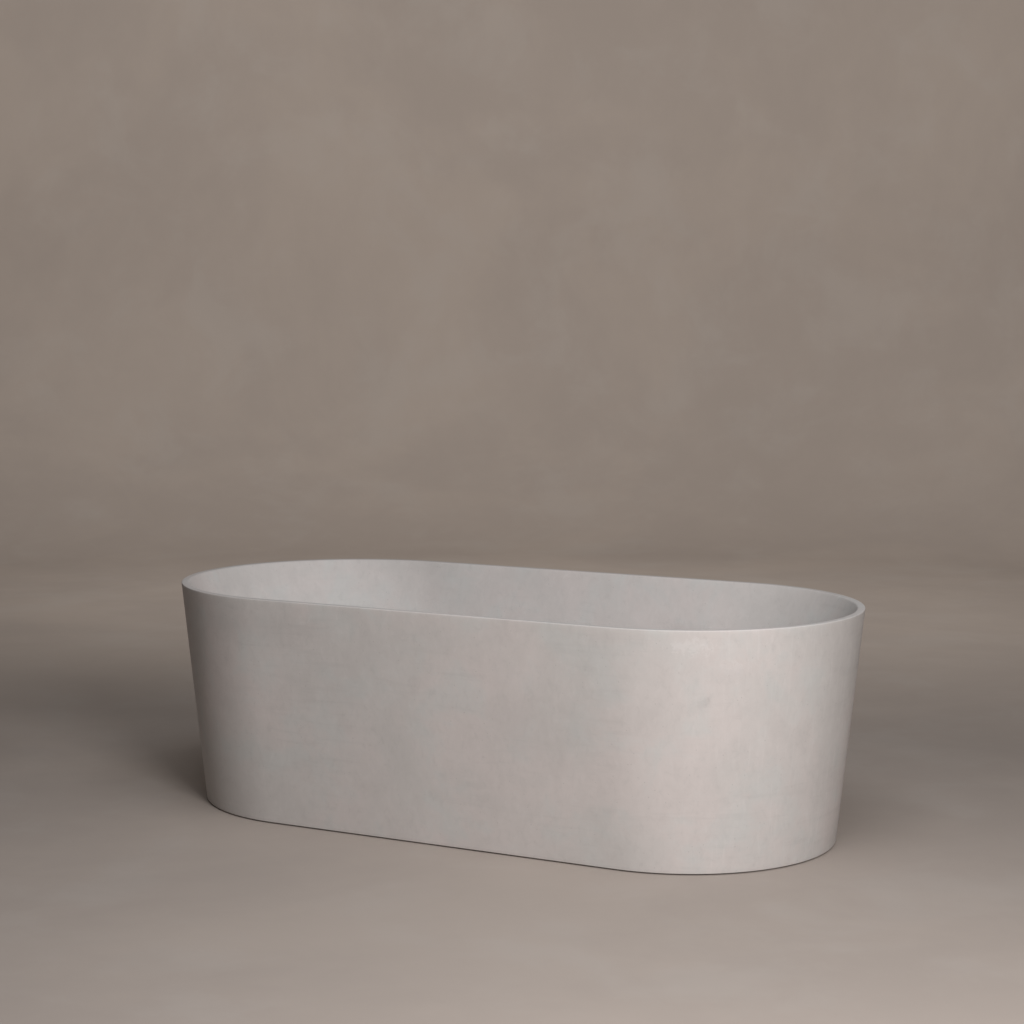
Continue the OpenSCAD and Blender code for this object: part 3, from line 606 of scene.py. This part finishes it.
def leaning_ring(radius, z):
    return [track_point(s, radius, SPAN - END_LEAN * (RIM_Z - z), z) for s in TRACK]


def drain_ring(radius, z):
    """A circle round the drain, with its points in line with the floor's own."""
    ring = []
    for p in leaning_ring(FLOOR_HALF, FLOOR_Z):
        outward = Vector((p.x, p.y, 0)).normalized() * radius
        ring.append(Vector((outward.x, outward.y, z)))
    return ring


def between(ring_a, ring_b, count):
    """Rings part of the way from one ring to another, neither included."""
    return [[a.lerp(b, k / count) for a, b in zip(ring_a, ring_b)] for k in range(1, count)]


def outer_skirt():
    """The tapered skirt, with softened lower edges and an even wall."""
    height = SEAM_Z - SKIRT_FOOT_Z
    profile = rounded([
        (skirt_out(SKIRT_FOOT_Z), SKIRT_FOOT_Z), (skirt_out(SEAM_Z), SEAM_Z),
        (skirt_out(SEAM_Z) - SKIRT_WALL, SEAM_Z), (skirt_out(SKIRT_FOOT_Z) - SKIRT_WALL, SKIRT_FOOT_Z)],
        SKIRT_EDGE_R, 4)
    top = [p for p in profile if p[1] > SEAM_Z - height / 2]
    foot = [p for p in profile if p[1] <= SEAM_Z - height / 2]
    outside = [(skirt_out(z), z) for z in steps(SKIRT_FOOT_Z + 0.01, SEAM_Z, 24)]
    inside = [(r - SKIRT_WALL, z) for r, z in reversed(outside)]
    half = len(foot) // 2
    square_top = [(skirt_out(SEAM_Z), SEAM_Z), (skirt_out(SEAM_Z) - SKIRT_WALL, SEAM_Z)]
    outline = foot[:half] + outside + square_top + inside + foot[half:]
    bm = bmesh.new()
    loft(bm, [straight_ring(r, z) for r, z in outline], closed=True)
    piece = finished("skirt_shell", bm, MATERIALS["cast_stone"])
    return standing_in(piece, "cast_stone", "outer_skirt")


def basin_rings():
    """Rings over the rim, down the inside to the drain, and back up the underside to the lip."""
    lean = math.degrees(WALL_LEAN)
    taper = math.degrees(math.atan(TAPER))
    lip = [(skirt_out(SEAM_Z), SEAM_Z)]
    outer_z = RIM_Z - RIM_OUTER_R
    outer_x = skirt_out(outer_z) - RIM_OUTER_R / math.cos(math.radians(taper))
    lip += arc((outer_x, outer_z), RIM_OUTER_R, -taper, 90, 6)
    inner_z = RIM_Z - RIM_INNER_R
    inner_x = basin_in(inner_z) + RIM_INNER_R / math.cos(WALL_LEAN)
    corner = (FLOOR_HALF, FLOOR_Z + CORNER_R)
    wall = arc((inner_x, inner_z), RIM_INNER_R, 90, 180 - lean, 6)
    foot_of_wall = corner[1] - CORNER_R * math.sin(WALL_LEAN)
    wall += [(basin_in(z), z) for z in steps(wall[-1][1], foot_of_wall, 18)[1:]]
    wall += arc(corner, CORNER_R, -lean, -90, 28)
    rings = [straight_ring(r, z) for r, z in lip] + [leaning_ring(r, z) for r, z in wall]
    edge = rounded([(RECESS_R + 0.004, FLOOR_Z), (RECESS_R, FLOOR_Z), (RECESS_R, RECESS_Z),
                    (DRAIN_R, RECESS_Z), (DRAIN_R, BOSS_Z), (BOSS_R, BOSS_Z), (BOSS_R, UNDER_Z)],
                   0.0008, 3, closed=False)
    around = [drain_ring(r, z) for r, z in edge]
    rings += between(rings[-1], around[0], 8) + around
    outer_r = CORNER_R + BASIN_WALL
    under = [leaning_ring(r, z) for r, z in arc(corner, outer_r, -90, -lean, 20)]
    rings += between(around[-1], under[0], 6) + under
    start = corner[1] - outer_r * math.sin(WALL_LEAN)
    rings += [leaning_ring(basin_in(z) + LEVEL_WALL, z) for z in steps(start, SEAM_Z, 14)[1:]]
    return rings + [leaning_ring(basin_in(SEAM_Z) + LEVEL_WALL, SEAM_Z)]


def inner_basin():
    bm = bmesh.new()
    loft(bm, basin_rings(), closed=True)
    piece = finished("basin_shell", bm, MATERIALS["cast_stone"])
    cut_slot(piece)
    return standing_in(piece, "cast_stone", "inner_basin")


def cut_slot(piece):
    """Cuts the overflow's slot through the front wall."""
    bm = bmesh.new()
    rows = loft(bm, [slot_ring(SLOT_L, SLOT_H, z) for z in (-0.005, BASIN_WALL + 0.005)])
    for row in rows:
        bm.faces.new(row)
    bm.transform(front_wall())
    bmesh.ops.recalc_face_normals(bm, faces=bm.faces)
    mesh = bpy.data.meshes.new("slot_cutter")
    bm.to_mesh(mesh)
    bm.free()
    cutter = bpy.data.objects.new("slot_cutter", mesh)
    bpy.context.scene.collection.objects.link(cutter)
    cut = piece.modifiers.new("slot", "BOOLEAN")
    cut.operation = "DIFFERENCE"
    cut.solver = "EXACT"
    cut.object = cutter
    bpy.context.view_layer.update()
    made = piece.evaluated_get(bpy.context.evaluated_depsgraph_get())
    piece.data = bpy.data.meshes.new_from_object(made)
    piece.modifiers.clear()
    piece.data.set_sharp_from_angle(angle=math.radians(35))
    bpy.data.objects.remove(cutter)


# ---- Turned, threaded and swept shapes ----

def level_ring(at, radius, z, sides, flats=None):
    """A level ring of points; flats cuts it to a hexagon of that width."""
    ring = []
    for a in steps(0, 2 * math.pi, sides):
        reach = radius
        if flats:
            from_flat = (a + math.pi / 6) % (math.pi / 3) - math.pi / 6
            reach = min(radius, flats / 2 / math.cos(from_flat))
        ring.append(Vector((at[0] + reach * math.cos(a), at[1] + reach * math.sin(a), z)))
    return ring


def turned(bm, at, outline, sides=64, flats=None, hollow=False):
    """Turns an outline of radius and height round an upright axis, solid or as a closed ring."""
    rows = loft(bm, [level_ring(at, r, z, sides, flats) for r, z in outline], closed=hollow)
    if not hollow:
        for row, (_, z) in ((rows[0], outline[0]), (rows[-1], outline[-1])):
            cap(bm, row, (at[0], at[1], z))


def thread(bm, at, radius, pitch, z0, z1, sides=30, per_turn=6):
    """A solid screw thread, which runs out into a plain tip."""
    depth = 0.55 * pitch
    rings = []
    for z in steps(z0, z1, round((z1 - z0) / pitch * per_turn)) + [z1]:
        ring = []
        for a in steps(0, 2 * math.pi, sides):
            crest = abs((z / pitch - a / (2 * math.pi)) % 1 * 2 - 1)
            reach = radius - depth * max(crest, 1 - (z1 - z) / pitch)
            ring.append(Vector((at[0] + reach * math.cos(a), at[1] + reach * math.sin(a), z)))
        rings.append(ring)
    rows = loft(bm, rings)
    cap(bm, rows[0], (at[0], at[1], z0))
    cap(bm, rows[-1], (at[0], at[1], z1))


def washer_outline(r_in, r_out, z0, z1, soft):
    return rounded([(r_in, z0), (r_out, z0), (r_out, z1), (r_in, z1)], soft, 3)


def hex_outline(across, z0, z1, soft=0.0012):
    """From bottom to top of a hexagon whose corners are turned down, to use with flats."""
    corner = across / 2 / math.cos(math.pi / 6)
    return [(across / 2 - 0.0004, z0), (corner, z0 + soft), (corner, z1 - soft), (across / 2 - 0.0004, z1)]


def swept_tube(path, radii, sides):
    """Rings along a path of places and headings that stays in an upright plane along Y."""
    rings = []
    for (place_at, heading), radius in zip(path, radii):
        side = Vector((1, 0, 0))
        up = side.cross(heading).normalized()
        rings.append([place_at + radius * (math.cos(a) * side + math.sin(a) * up)
                      for a in steps(0, 2 * math.pi, sides)])
    return rings


def softened(node, name, width, segments=2, long_only=None):
    """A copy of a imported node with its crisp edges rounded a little."""
    bm = bmesh.new()
    bm.from_mesh(frame["nodes"][node].data)
    bmesh.ops.remove_doubles(bm, verts=bm.verts, dist=1e-6)
    bmesh.ops.dissolve_limit(bm, angle_limit=math.radians(0.5), verts=bm.verts, edges=bm.edges)
    edges = [e for e in bm.edges if e.is_manifold and e.calc_face_angle(0) > math.radians(40)]
    if long_only is not None:
        edges = [e for e in edges if e.calc_length() > long_only]
    bmesh.ops.bevel(bm, geom=edges, offset=width, segments=segments, profile=0.5, affect="EDGES",
                    clamp_overlap=True)
    slot = slot_of(node)
    return standing_in(finished(name, bm, MATERIALS[slot], 30), slot, node)


def slot_of(node):
    return next(p["material_slot"] for p in frame["record"]["subparts"] if p["node"] == node)


# ---- Drain and plug ----

def drain_flange():
    """Rounded flange, conical seat, threaded tail, and the spider that carries the cartridge."""
    top, foot = high("drain_flange").z, low("drain_flange").z
    rim = high("drain_flange").x
    outline = [(SEAT_R, top - 0.0003), (rim - 0.0022, top)]
    outline += arc((rim - 0.0012, top - 0.0012), 0.0012, 80, 0, 6)
    outline += [(rim, RECESS_Z + 0.0021), (rim - 0.0006, RECESS_Z + 0.0015), (NECK_R, RECESS_Z + 0.0015)]
    neck_foot = RECESS_Z + 0.0015 - NECK_H
    outline += [(NECK_R, neck_foot), (TAIL_R, neck_foot - 0.0006)]
    ridges = round((neck_foot - foot - 0.002) / TAIL_PITCH)
    for i in range(ridges):
        z = neck_foot - 0.0008 - i * TAIL_PITCH
        outline += [(TAIL_R, z), (TAIL_R, z - 0.25 * TAIL_PITCH), (TAIL_R - 0.0007, z - 0.6 * TAIL_PITCH)]
    outline += [(TAIL_R - 0.0007, foot), (THROAT_R, foot), (THROAT_R, top - SEAT_H),
                (SEAT_R - 0.0004, top - 0.0008)]
    bm = bmesh.new()
    turned(bm, (0, 0), outline, 128, hollow=True)
    hub = low("plug_cartridge").z + 0.01
    cartridge_r = CARTRIDGE_R + 0.0001
    turned(bm, (0, 0), washer_outline(cartridge_r, cartridge_r + 0.0026, hub, hub + 0.004, 0.0006), 64,
           hollow=True)
    for a in (0, 90, 180, 270):
        arm = rounded([(cartridge_r + 0.0015, -0.00175), (THROAT_R + 0.001, -0.00175),
                       (THROAT_R + 0.001, 0.00175), (cartridge_r + 0.0015, 0.00175)], 0.0004, 2)
        turn = Matrix.Rotation(math.radians(a), 3, "Z")
        rows = loft(bm, [[turn @ Vector((x, y, z)) for x, y in arm] for z in (hub, hub + 0.004)])
        for row in rows:
            bm.faces.new(row)
    made = finished("drain_ring", bm, MATERIALS["brushed_steel"], 30)
    return standing_in(made, "brushed_steel", "drain_flange")


def plug_cap():
    """A faintly domed cap with a soft edge, and the grooved stopper under it."""
    z0, z1 = low("plug_cap").z, high("plug_cap").z
    rim = high("plug_cap").x
    under = z1 - CAP_T
    crown = 0.0009
    dome = [(r * rim, z1 - crown * r * r) for r in (0.04, 0.2, 0.4, 0.6, 0.75, 0.88, 0.95)]
    edge = arc((rim - 0.0014, z1 - crown - 0.0014), 0.0014, 80, 0, 6)
    foot = arc((rim - 0.0006, under + 0.0006), 0.0006, 0, -90, 3)
    groove_z = middle("plug_seal").z
    groove = [(STOPPER_R, groove_z + 0.0017), (STOPPER_R - 0.0009, groove_z + 0.0013),
              (STOPPER_R - 0.0009, groove_z - 0.0013), (STOPPER_R, groove_z - 0.0017)]
    stopper = [(STOPPER_R, under)] + groove + [(STOPPER_R, z0 + 0.0008), (STOPPER_R - 0.0008, z0)]
    bm = bmesh.new()
    turned(bm, (0, 0), dome + edge + foot + stopper + [(0.004, z0)], 128)
    made = finished("plug_top", bm, MATERIALS["brushed_steel"], 40, "plug")
    return standing_in(made, "brushed_steel", "plug_cap")


def plug_seal():
    """The round rubber ring in the stopper's groove, with its fine moulding line."""
    z = middle("plug_seal").z
    wire = (high("plug_seal").z - low("plug_seal").z) / 2
    middle_r = high("plug_seal").x - wire
    section = arc((middle_r, z), wire, 0, 330, 15)
    section[0] = (middle_r + wire * 1.03, z)
    bm = bmesh.new()
    turned(bm, (0, 0), section, 96, hollow=True)
    return standing_in(finished("plug_ring", bm, MATERIALS["rubber"], 60, "plug"), "rubber", "plug_seal")


def plug_spring():
    """Round wire in even turns, with a flat turn at each end."""
    wire = 0.0007
    coil_r = high("plug_spring").x - wire
    z0, z1 = low("plug_spring").z + wire, high("plug_spring").z - wire
    turns, per_turn = 6, 36
    rings = []
    for i in range(turns * per_turn + 1):
        a = 2 * math.pi * i / per_turn
        share = min(1, max(0, (i / per_turn - 0.8) / (turns - 1.6)))
        out = Vector((math.cos(a), math.sin(a), 0))
        centre = out * coil_r + Vector((0, 0, z0 + (z1 - z0) * share))
        rings.append([centre + wire * (math.cos(b) * out + Vector((0, 0, math.sin(b))))
                      for b in steps(0, 2 * math.pi, 10)])
    bm = bmesh.new()
    rows = loft(bm, rings)
    for row in (rows[0], rows[-1]):
        bm.faces.new(row)
    made = finished("spring_coil", bm, MATERIALS["bright_steel"])
    return standing_in(made, "bright_steel", "plug_spring")


# ---- Overflow ----

def front_wall():
    """Turns a plane with y up and z out of the basin into the inner face of the front wall."""
    z = OVERFLOW_Z
    return Matrix.Translation((0, -basin_in(z), z)) @ Matrix.Rotation(math.radians(90) + WALL_LEAN, 4, "X")


def slot_ring(length, height, z, count=12):
    """A slot's outline with round ends, at one depth."""
    half = (length - height) / 2
    points = arc((half, 0), height / 2, -90, 90, count) + arc((-half, 0), height / 2, 90, 270, count)
    return [Vector((x, y, z)) for x, y in points]


def overflow_trim():
    """A polished slot surround: a rolled face on the basin, and a sleeve through its wall."""
    length, height, proud = SLOT_L, SLOT_H, 0.001
    faces = [(-0.0002, BASIN_WALL), (0, 0.0), (0.006, 0.0), (0.006, -0.0004), (0.0054, -0.0009),
             (0.004, -proud), (-0.0012, -proud), (-0.0024, -0.0006), (-0.003, 0.0003), (-0.003, BASIN_WALL)]
    bm = bmesh.new()
    loft(bm, [slot_ring(length + grow, height + grow, z) for grow, z in faces], closed=True)
    bm.transform(front_wall())
    return standing_in(finished("overflow_surround", bm, MATERIALS["brushed_steel"], 50), "brushed_steel",
                       "overflow_trim")


def hose_route(spacing):
    """Places and headings down along the wall, round one bend, then level to the waste."""
    radius = HOSE_R
    top = Vector((0, low("overflow_hose").y + radius * math.cos(WALL_LEAN),
                  high("overflow_hose").z - radius * math.sin(WALL_LEAN)))
    end = Vector((0, high("overflow_hose").y, low("overflow_hose").z + radius))
    turn = math.pi / 2 - WALL_LEAN
    down = Vector((0, math.sin(WALL_LEAN), -math.cos(WALL_LEAN)))
    drop = (top.z - end.z - HOSE_BEND_R * (1 - math.cos(turn))) / math.cos(WALL_LEAN)
    corner = top + down * drop
    centre = Vector((0, corner.y + HOSE_BEND_R * math.sin(turn), end.z + HOSE_BEND_R))
    bend = HOSE_BEND_R * turn
    level = end.y - centre.y
    route = []
    count = round((drop + bend + level) / spacing)
    for s in steps(0, drop + bend + level, count) + [drop + bend + level]:
        if s < drop:
            route.append((top + down * s, down))
        elif s < drop + bend:
            a = turn - (s - drop) / HOSE_BEND_R
            out = Vector((0, -math.sin(a), -math.cos(a)))
            route.append((centre + out * HOSE_BEND_R, Vector((0, math.cos(a), -math.sin(a)))))
        else:
            route.append((Vector((0, centre.y + s - drop - bend, end.z)), Vector((0, 1, 0))))
    return route


def overflow_hose():
    """A ribbed hose with a plain cuff at each end."""
    spacing, rib, cuff = 0.0008, 0.0048, 0.026
    route = hose_route(spacing)
    depth = 0.0013
    length = spacing * (len(route) - 1)
    outer = []
    for i in range(len(route)):
        s = i * spacing
        ribbed = cuff < s < length - cuff
        wave = 0.5 - 0.5 * math.cos(2 * math.pi * (s - cuff) / rib)
        outer.append(HOSE_R - (depth * wave if ribbed else 0))
    inner_route = route[::12] + [route[-1]]
    inner = swept_tube(inner_route, [HOSE_R - 0.002] * len(inner_route), 28)
    bm = bmesh.new()
    loft(bm, swept_tube(route, outer, 28) + inner[::-1], closed=True)
    made = finished("ribbed_hose", bm, MATERIALS["hose_plastic"], 50)
    return standing_in(made, "hose_plastic", "overflow_hose")


def hose_clamp(name, node, at, heading):
    """A worm-drive clamp: a band with a rolled edge, a housing and a hex-headed screw."""
    half = 0.0045
    band = rounded([(HOSE_R, -half), (HOSE_R + 0.0007, -half), (HOSE_R + 0.0007, half), (HOSE_R, half)],
                   0.0002, 2)
    bm = bmesh.new()
    turned(bm, (0, 0), band, 72, hollow=True)
    lift = Matrix.Translation((HOSE_R + 0.0034, 0, 0)) @ Matrix.Rotation(math.pi / 2, 4, "X")
    housing = bmesh.new()
    turned(housing, (0, 0), rounded([(0.0034, -0.005), (0.0042, -0.005), (0.0042, 0.004), (0.0034, 0.004)],
                                    0.0004, 2), 32, hollow=True)
    turned(housing, (0, 0), hex_outline(0.0065, 0.0065, 0.0095, 0.0006), 36, flats=0.0065)
    thread(housing, (0, 0), 0.0031, 0.0016, -0.0065, 0.0066, 20)
    housing.transform(lift)
    shell = bpy.data.meshes.new(name + "_housing")
    housing.to_mesh(shell)
    housing.free()
    bm.from_mesh(shell)
    bpy.data.meshes.remove(shell)
    bm.transform(Matrix.Translation(at) @ heading.to_track_quat("Z", "X").to_matrix().to_4x4())
    return standing_in(finished(name, bm, MATERIALS["bright_steel"], 40), "bright_steel", node)


def hose_clamps():
    for name, node in (("upper_clamp", "hose_clamp_upper"), ("lower_clamp", "hose_clamp_lower")):
        upper = name == "upper_clamp"
        heading = Vector((0, math.sin(WALL_LEAN), -math.cos(WALL_LEAN))) if upper else Vector((0, 1, 0))
        hose_clamp(name, node, middle(node), heading)


# ---- Feet ----

def foot_stud(foot):
    node = "foot_stud_" + foot
    at = middle(node)
    z0, z1 = low(node).z, high(node).z
    collar = high("foot_pad_" + foot).z + 0.0015
    ball_r = BALL_R
    ball = [(ball_r * math.cos(math.radians(a)), z0 + ball_r + ball_r * math.sin(math.radians(a)))
            for a in steps(-84, 52, 17)]
    bm = bmesh.new()
    turned(bm, at, ball + [(0.004, collar - 0.0015), (0.0052, collar + 0.0005)], 48)
    turned(bm, at, hex_outline(0.017, collar, collar + 0.008), 72, flats=0.017)
    thread(bm, at, STUD_R, STUD_PITCH, collar + 0.0075, z1)
    standing_in(finished("levelling_screw_" + foot, bm, MATERIALS["zinc_steel"], 40, "stud_" + foot),
                "zinc_steel", node)


def foot_pad(foot):
    """A moulded foot: a flange with a rounded edge, a waisted cone, and the lip that grips the ball."""
    node = "foot_pad_" + foot
    at = middle(node)
    rim = high(node).x - at.x
    z0, z1 = low(node).z, high(node).z
    lip = BALL_R + 0.004
    outline = [(rim - 0.0004, z0)] + arc((rim - 0.0012, z0 + 0.0028), 0.0012, 0, 90, 5)
    waist = [(rim - 0.003 - (rim - 0.003 - lip) * t, z0 + 0.0045 + (z1 - z0 - 0.0055) * t ** 1.7)
             for t in (0, 0.15, 0.3, 0.45, 0.6, 0.75, 0.88, 1)]
    edge = arc((lip - 0.0008, z1 - 0.0008), 0.0008, 0, 90, 4)
    bore = [(BALL_R - 0.0006, z1 - 0.0004), (BALL_R - 0.0006, z1 - 0.002), (BALL_R - 0.0014, z0 + 0.0011),
            (0.003, z0 + 0.0011), (0.003, z0)]
    bm = bmesh.new()
    turned(bm, at, outline + waist + edge + bore, 96, hollow=True)
    for a in steps(0, 2 * math.pi, 8):
        inner, outer = lip - 0.001, rim - 0.004
        out, side = Vector((math.cos(a), math.sin(a), 0)), Vector((-math.sin(a), math.cos(a), 0)) * 0.0009
        centre = Vector((at.x, at.y, 0))
        fin = [Vector((0, 0, z0 + 0.003)) + out * inner, Vector((0, 0, z0 + 0.003)) + out * outer,
               Vector((0, 0, z0 + 0.0048)) + out * outer, Vector((0, 0, z1 - 0.0012)) + out * inner]
        rows = loft(bm, [[centre + p + side * s for p in fin] for s in (-1, 1)])
        for row in rows:
            bm.faces.new(row)
    made = finished("foot_cup_" + foot, bm, MATERIALS["pad_plastic"], 35, "pad_" + foot)
    standing_in(made, "pad_plastic", node)


def foot_sole(foot):
    """A rubber disc with three round grooves in its tread."""
    node = "foot_sole_" + foot
    at = middle(node)
    rim = high(node).x - at.x
    z0, z1 = low(node).z, high(node).z
    tread = [(0.003, z0)]
    for r in (0.007, 0.0125, 0.018):
        tread += [(r - 0.0012, z0), (r - 0.0008, z0 + 0.0011), (r + 0.0008, z0 + 0.0011), (r + 0.0012, z0)]
    edge = arc((rim - 0.0007, z0 + 0.0007), 0.0007, -90, 0, 4)
    edge += arc((rim - 0.0005, z1 - 0.0005), 0.0005, 0, 90, 3)
    bm = bmesh.new()
    turned(bm, at, tread + edge, 96)
    standing_in(finished("foot_tread_" + foot, bm, MATERIALS["rubber"], 35, "pad_" + foot), "rubber", node)


def foot_locknut(foot):
    node = "foot_locknut_" + foot
    at = middle(node)
    bm = bmesh.new()
    outline = hex_outline(0.019, low(node).z, high(node).z)
    bore = STUD_R + 0.0003
    turned(bm, at, outline + [(bore + 0.0006, high(node).z), (bore, high(node).z - 0.0006),
                              (bore, low(node).z + 0.0006), (bore + 0.0006, low(node).z)],
           72, flats=0.019, hollow=True)
    standing_in(finished("lock_nut_" + foot, bm, MATERIALS["zinc_steel"], 35), "zinc_steel", node)


def feet():
    for foot in ("left_front", "right_front", "left_back", "right_back"):
        foot_stud(foot)
        foot_pad(foot)
        foot_sole(foot)
        foot_locknut(foot)


# ---- Frame ----

def frame_joints():
    """Where rails cross crossbars."""
    return [(middle("crossbar_" + side).x, middle("rail_" + face).y)
            for side in ("left", "right") for face in ("front", "back")]


def frame_bolts():
    z0, z1 = low("frame_bolts").z, high("frame_bolts").z
    head_top = low("frame_washers").z
    bm = bmesh.new()
    for at in frame_joints():
        turned(bm, at, hex_outline(0.013, z0, head_top - 0.0003), 72, flats=0.013)
        turned(bm, at, [(0.0058, head_top - 0.0004), (0.0058, head_top)], 48)
        thread(bm, at, 0.004, 0.00125, head_top - 0.0005, z1, 24, 5)
    return standing_in(finished("hex_bolts", bm, MATERIALS["zinc_steel"], 35), "zinc_steel", "frame_bolts")


def frame_nuts():
    z0, z1 = low("frame_nuts").z, high("frame_nuts").z
    bm = bmesh.new()
    for at in frame_joints():
        bore = [(0.0047, z1), (0.0041, z1 - 0.0006), (0.0041, z0 + 0.0006), (0.0047, z0)]
        turned(bm, at, hex_outline(0.013, z0, z1, 0.001) + bore, 72, flats=0.013, hollow=True)
    return standing_in(finished("hex_nuts", bm, MATERIALS["zinc_steel"], 35), "zinc_steel", "frame_nuts")


def frame_washers():
    thick = 0.0016
    bm = bmesh.new()
    for at in frame_joints():
        for z in (low("frame_washers").z, high("frame_washers").z - thick):
            turned(bm, at, washer_outline(0.0041, 0.008, z, z + thick, 0.0004), 48, hollow=True)
    made = finished("flat_washers", bm, MATERIALS["zinc_steel"], 35)
    return standing_in(made, "zinc_steel", "frame_washers")


def bonding_pads():
    """Pads of resin that bulge a little where the basin has pressed them out."""
    z0, z1 = low("bonding_pads").z, high("bonding_pads").z
    half_y = (high("rail_back").y - low("rail_back").y) / 2
    half_x = PAD_L / 2
    outer = high("bonding_pads").x - half_x
    bm = bmesh.new()
    for x in (-outer, -outer + PAD_STEP, outer - PAD_STEP, outer):
        for y in (middle("rail_front").y, middle("rail_back").y):
            rings = []
            for k in range(9):
                t = k / 8
                grow = 0.0022 * math.sin(math.pi * t) - 0.0018
                outline = rounded([(half_x + grow, half_y + grow), (-half_x - grow, half_y + grow),
                                   (-half_x - grow, -half_y - grow), (half_x + grow, -half_y - grow)],
                                   0.009, 6)
                ring = []
                for px, py in outline:
                    wave = 1 + 0.035 * noise.noise(Vector((px + x, py + y, t * 0.004)) * 60)
                    ring.append(Vector((x + px * wave, y + py * wave, z0 + (z1 - z0) * t)))
                rings.append(ring)
            rows = loft(bm, rings)
            for row in (rows[0], rows[-1]):
                bm.faces.new(row)
    return standing_in(finished("resin_pads", bm, MATERIALS["resin"], 60), "resin", "bonding_pads")


def softened_nodes():
    """Tubes with drawn corners, folded brackets and moulded plastics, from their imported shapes."""
    softened("rail_front", "front_rail", 0.003, 4, long_only=0.3)
    softened("rail_back", "back_rail", 0.003, 4, long_only=0.3)
    softened("crossbar_left", "left_crossbar", 0.003, 4, long_only=0.3)
    softened("crossbar_right", "right_crossbar", 0.003, 4, long_only=0.3)
    softened("skirt_brackets", "folded_brackets", 0.0008, 2)
    softened("overflow_duct", "moulded_duct", 0.0006, 2)
    softened("waste_body", "waste_chamber", 0.0006, 2)
    softened("tail_nut", "tail_ring_nut", 0.0005, 2)
    softened("tail_pipe", "outlet_pipe", 0.0005, 2)
    softened("plug_cartridge", "push_cartridge", 0.0004, 2)
    softened("bracket_screws", "pan_screws", 0.0004, 2)
    softened("foot_inserts", "rivet_nuts", 0.0004, 2)


# ---- Light, floor and camera ----

CAMERA_HEADING = math.radians(27.35)
CAMERA_PITCH = math.radians(5.64)
CAMERA_ROLL = math.radians(0.17)
CAMERA_AT = Vector((2.362, -4.556, 1.248))
CAMERA_LENS = 74.9


def camera():
    made = bpy.data.cameras.new("camera")
    made.lens = CAMERA_LENS
    made.sensor_width = 36
    rig = bpy.data.objects.new("camera", made)
    rig.location = CAMERA_AT
    rig.rotation_euler = (Matrix.Rotation(CAMERA_HEADING, 3, "Z")
                          @ Matrix.Rotation(math.radians(90) - CAMERA_PITCH, 3, "X")
                          @ Matrix.Rotation(CAMERA_ROLL, 3, "Z")).to_euler()
    bpy.context.scene.collection.objects.link(rig)
    bpy.context.scene.camera = rig


def soft_light(name, at, aim, width, height, power, colour):
    made = bpy.data.lights.new(name, "AREA")
    made.shape = "RECTANGLE"
    made.size = width
    made.size_y = height
    made.energy = power
    made.color = colour
    rig = bpy.data.objects.new(name, made)
    rig.location = at
    rig.rotation_euler = (Vector(aim) - Vector(at)).to_track_quat("-Z", "Y").to_euler()
    rig.visible_camera = False
    bpy.context.scene.collection.objects.link(rig)


def studio():
    tub = Vector((0, 0, RIM_Z / 2))
    soft_light("window", (2.6, -2.75, 1.65), tub + Vector((0.4, 0, 0)), 1.1, 1.1, 90, (1.0, 0.965, 0.95))
    soft_light("sky", (1.1, -1.5, 3.8), tub, 2.8, 2.4, 61, (0.98, 0.98, 1.0))
    soft_light("backdrop", (-1.2, 2.2, 3.4), (-2.4, 6.6, 1.5), 5.0, 1.6, 112, (1.0, 0.95, 0.9))
    world = bpy.data.worlds.new("studio")
    world.use_nodes = True
    seen = world.node_tree.nodes["Background"]
    seen.inputs["Color"].default_value = (0.62, 0.6, 0.58, 1)
    seen.inputs["Strength"].default_value = 0.13
    bpy.context.scene.world = world
    bpy.context.scene.view_settings.view_transform = "Standard"


def pale_floor():
    """A plain floor that sweeps up, far from the tub, into a round backdrop."""
    material, g, shader, vector = new_material("floor_plaster", Specular_IOR_Level=0.2, Roughness=0.8)
    clouds = place(g, CLOUDING, Vector=g.stretch(vector, (0.3, 0.3, 0.3)), Base=(0.41, 0.36, 0.325, 1),
                   Warm=(0.475, 0.415, 0.365, 1), Cool=(0.44, 0.405, 0.375, 1), Strength=0.3)
    g.tree.links.new(clouds["Color"], shader.inputs["Base Color"])
    bend = 1.6
    edge = 5.4
    profile = [(0.6, 0.0), (3.0, 0.0)] + arc((edge, bend), bend, -90, 0, 16) + [(edge + bend, 4.5)]
    bm = bmesh.new()
    around = steps(0, 2 * math.pi, 128)
    rows = loft(bm, [[Vector((r * math.cos(a), r * math.sin(a), z)) for a in around] for r, z in profile])
    cap(bm, rows[0], (0, 0, 0))
    bmesh.ops.recalc_face_normals(bm, faces=bm.faces)
    mesh = bpy.data.meshes.new("floor")
    bm.to_mesh(mesh)
    bm.free()
    mesh.shade_smooth()
    mesh.materials.append(material)
    floor = bpy.data.objects.new("floor", mesh)
    bpy.context.scene.collection.objects.link(floor)


dress_cad_nodes()
outer_skirt()
inner_basin()
drain_flange()
plug_cap()
plug_seal()
plug_spring()
overflow_trim()
overflow_hose()
hose_clamps()
feet()
frame_bolts()
frame_nuts()
frame_washers()
bonding_pads()
softened_nodes()
pale_floor()
studio()
camera()
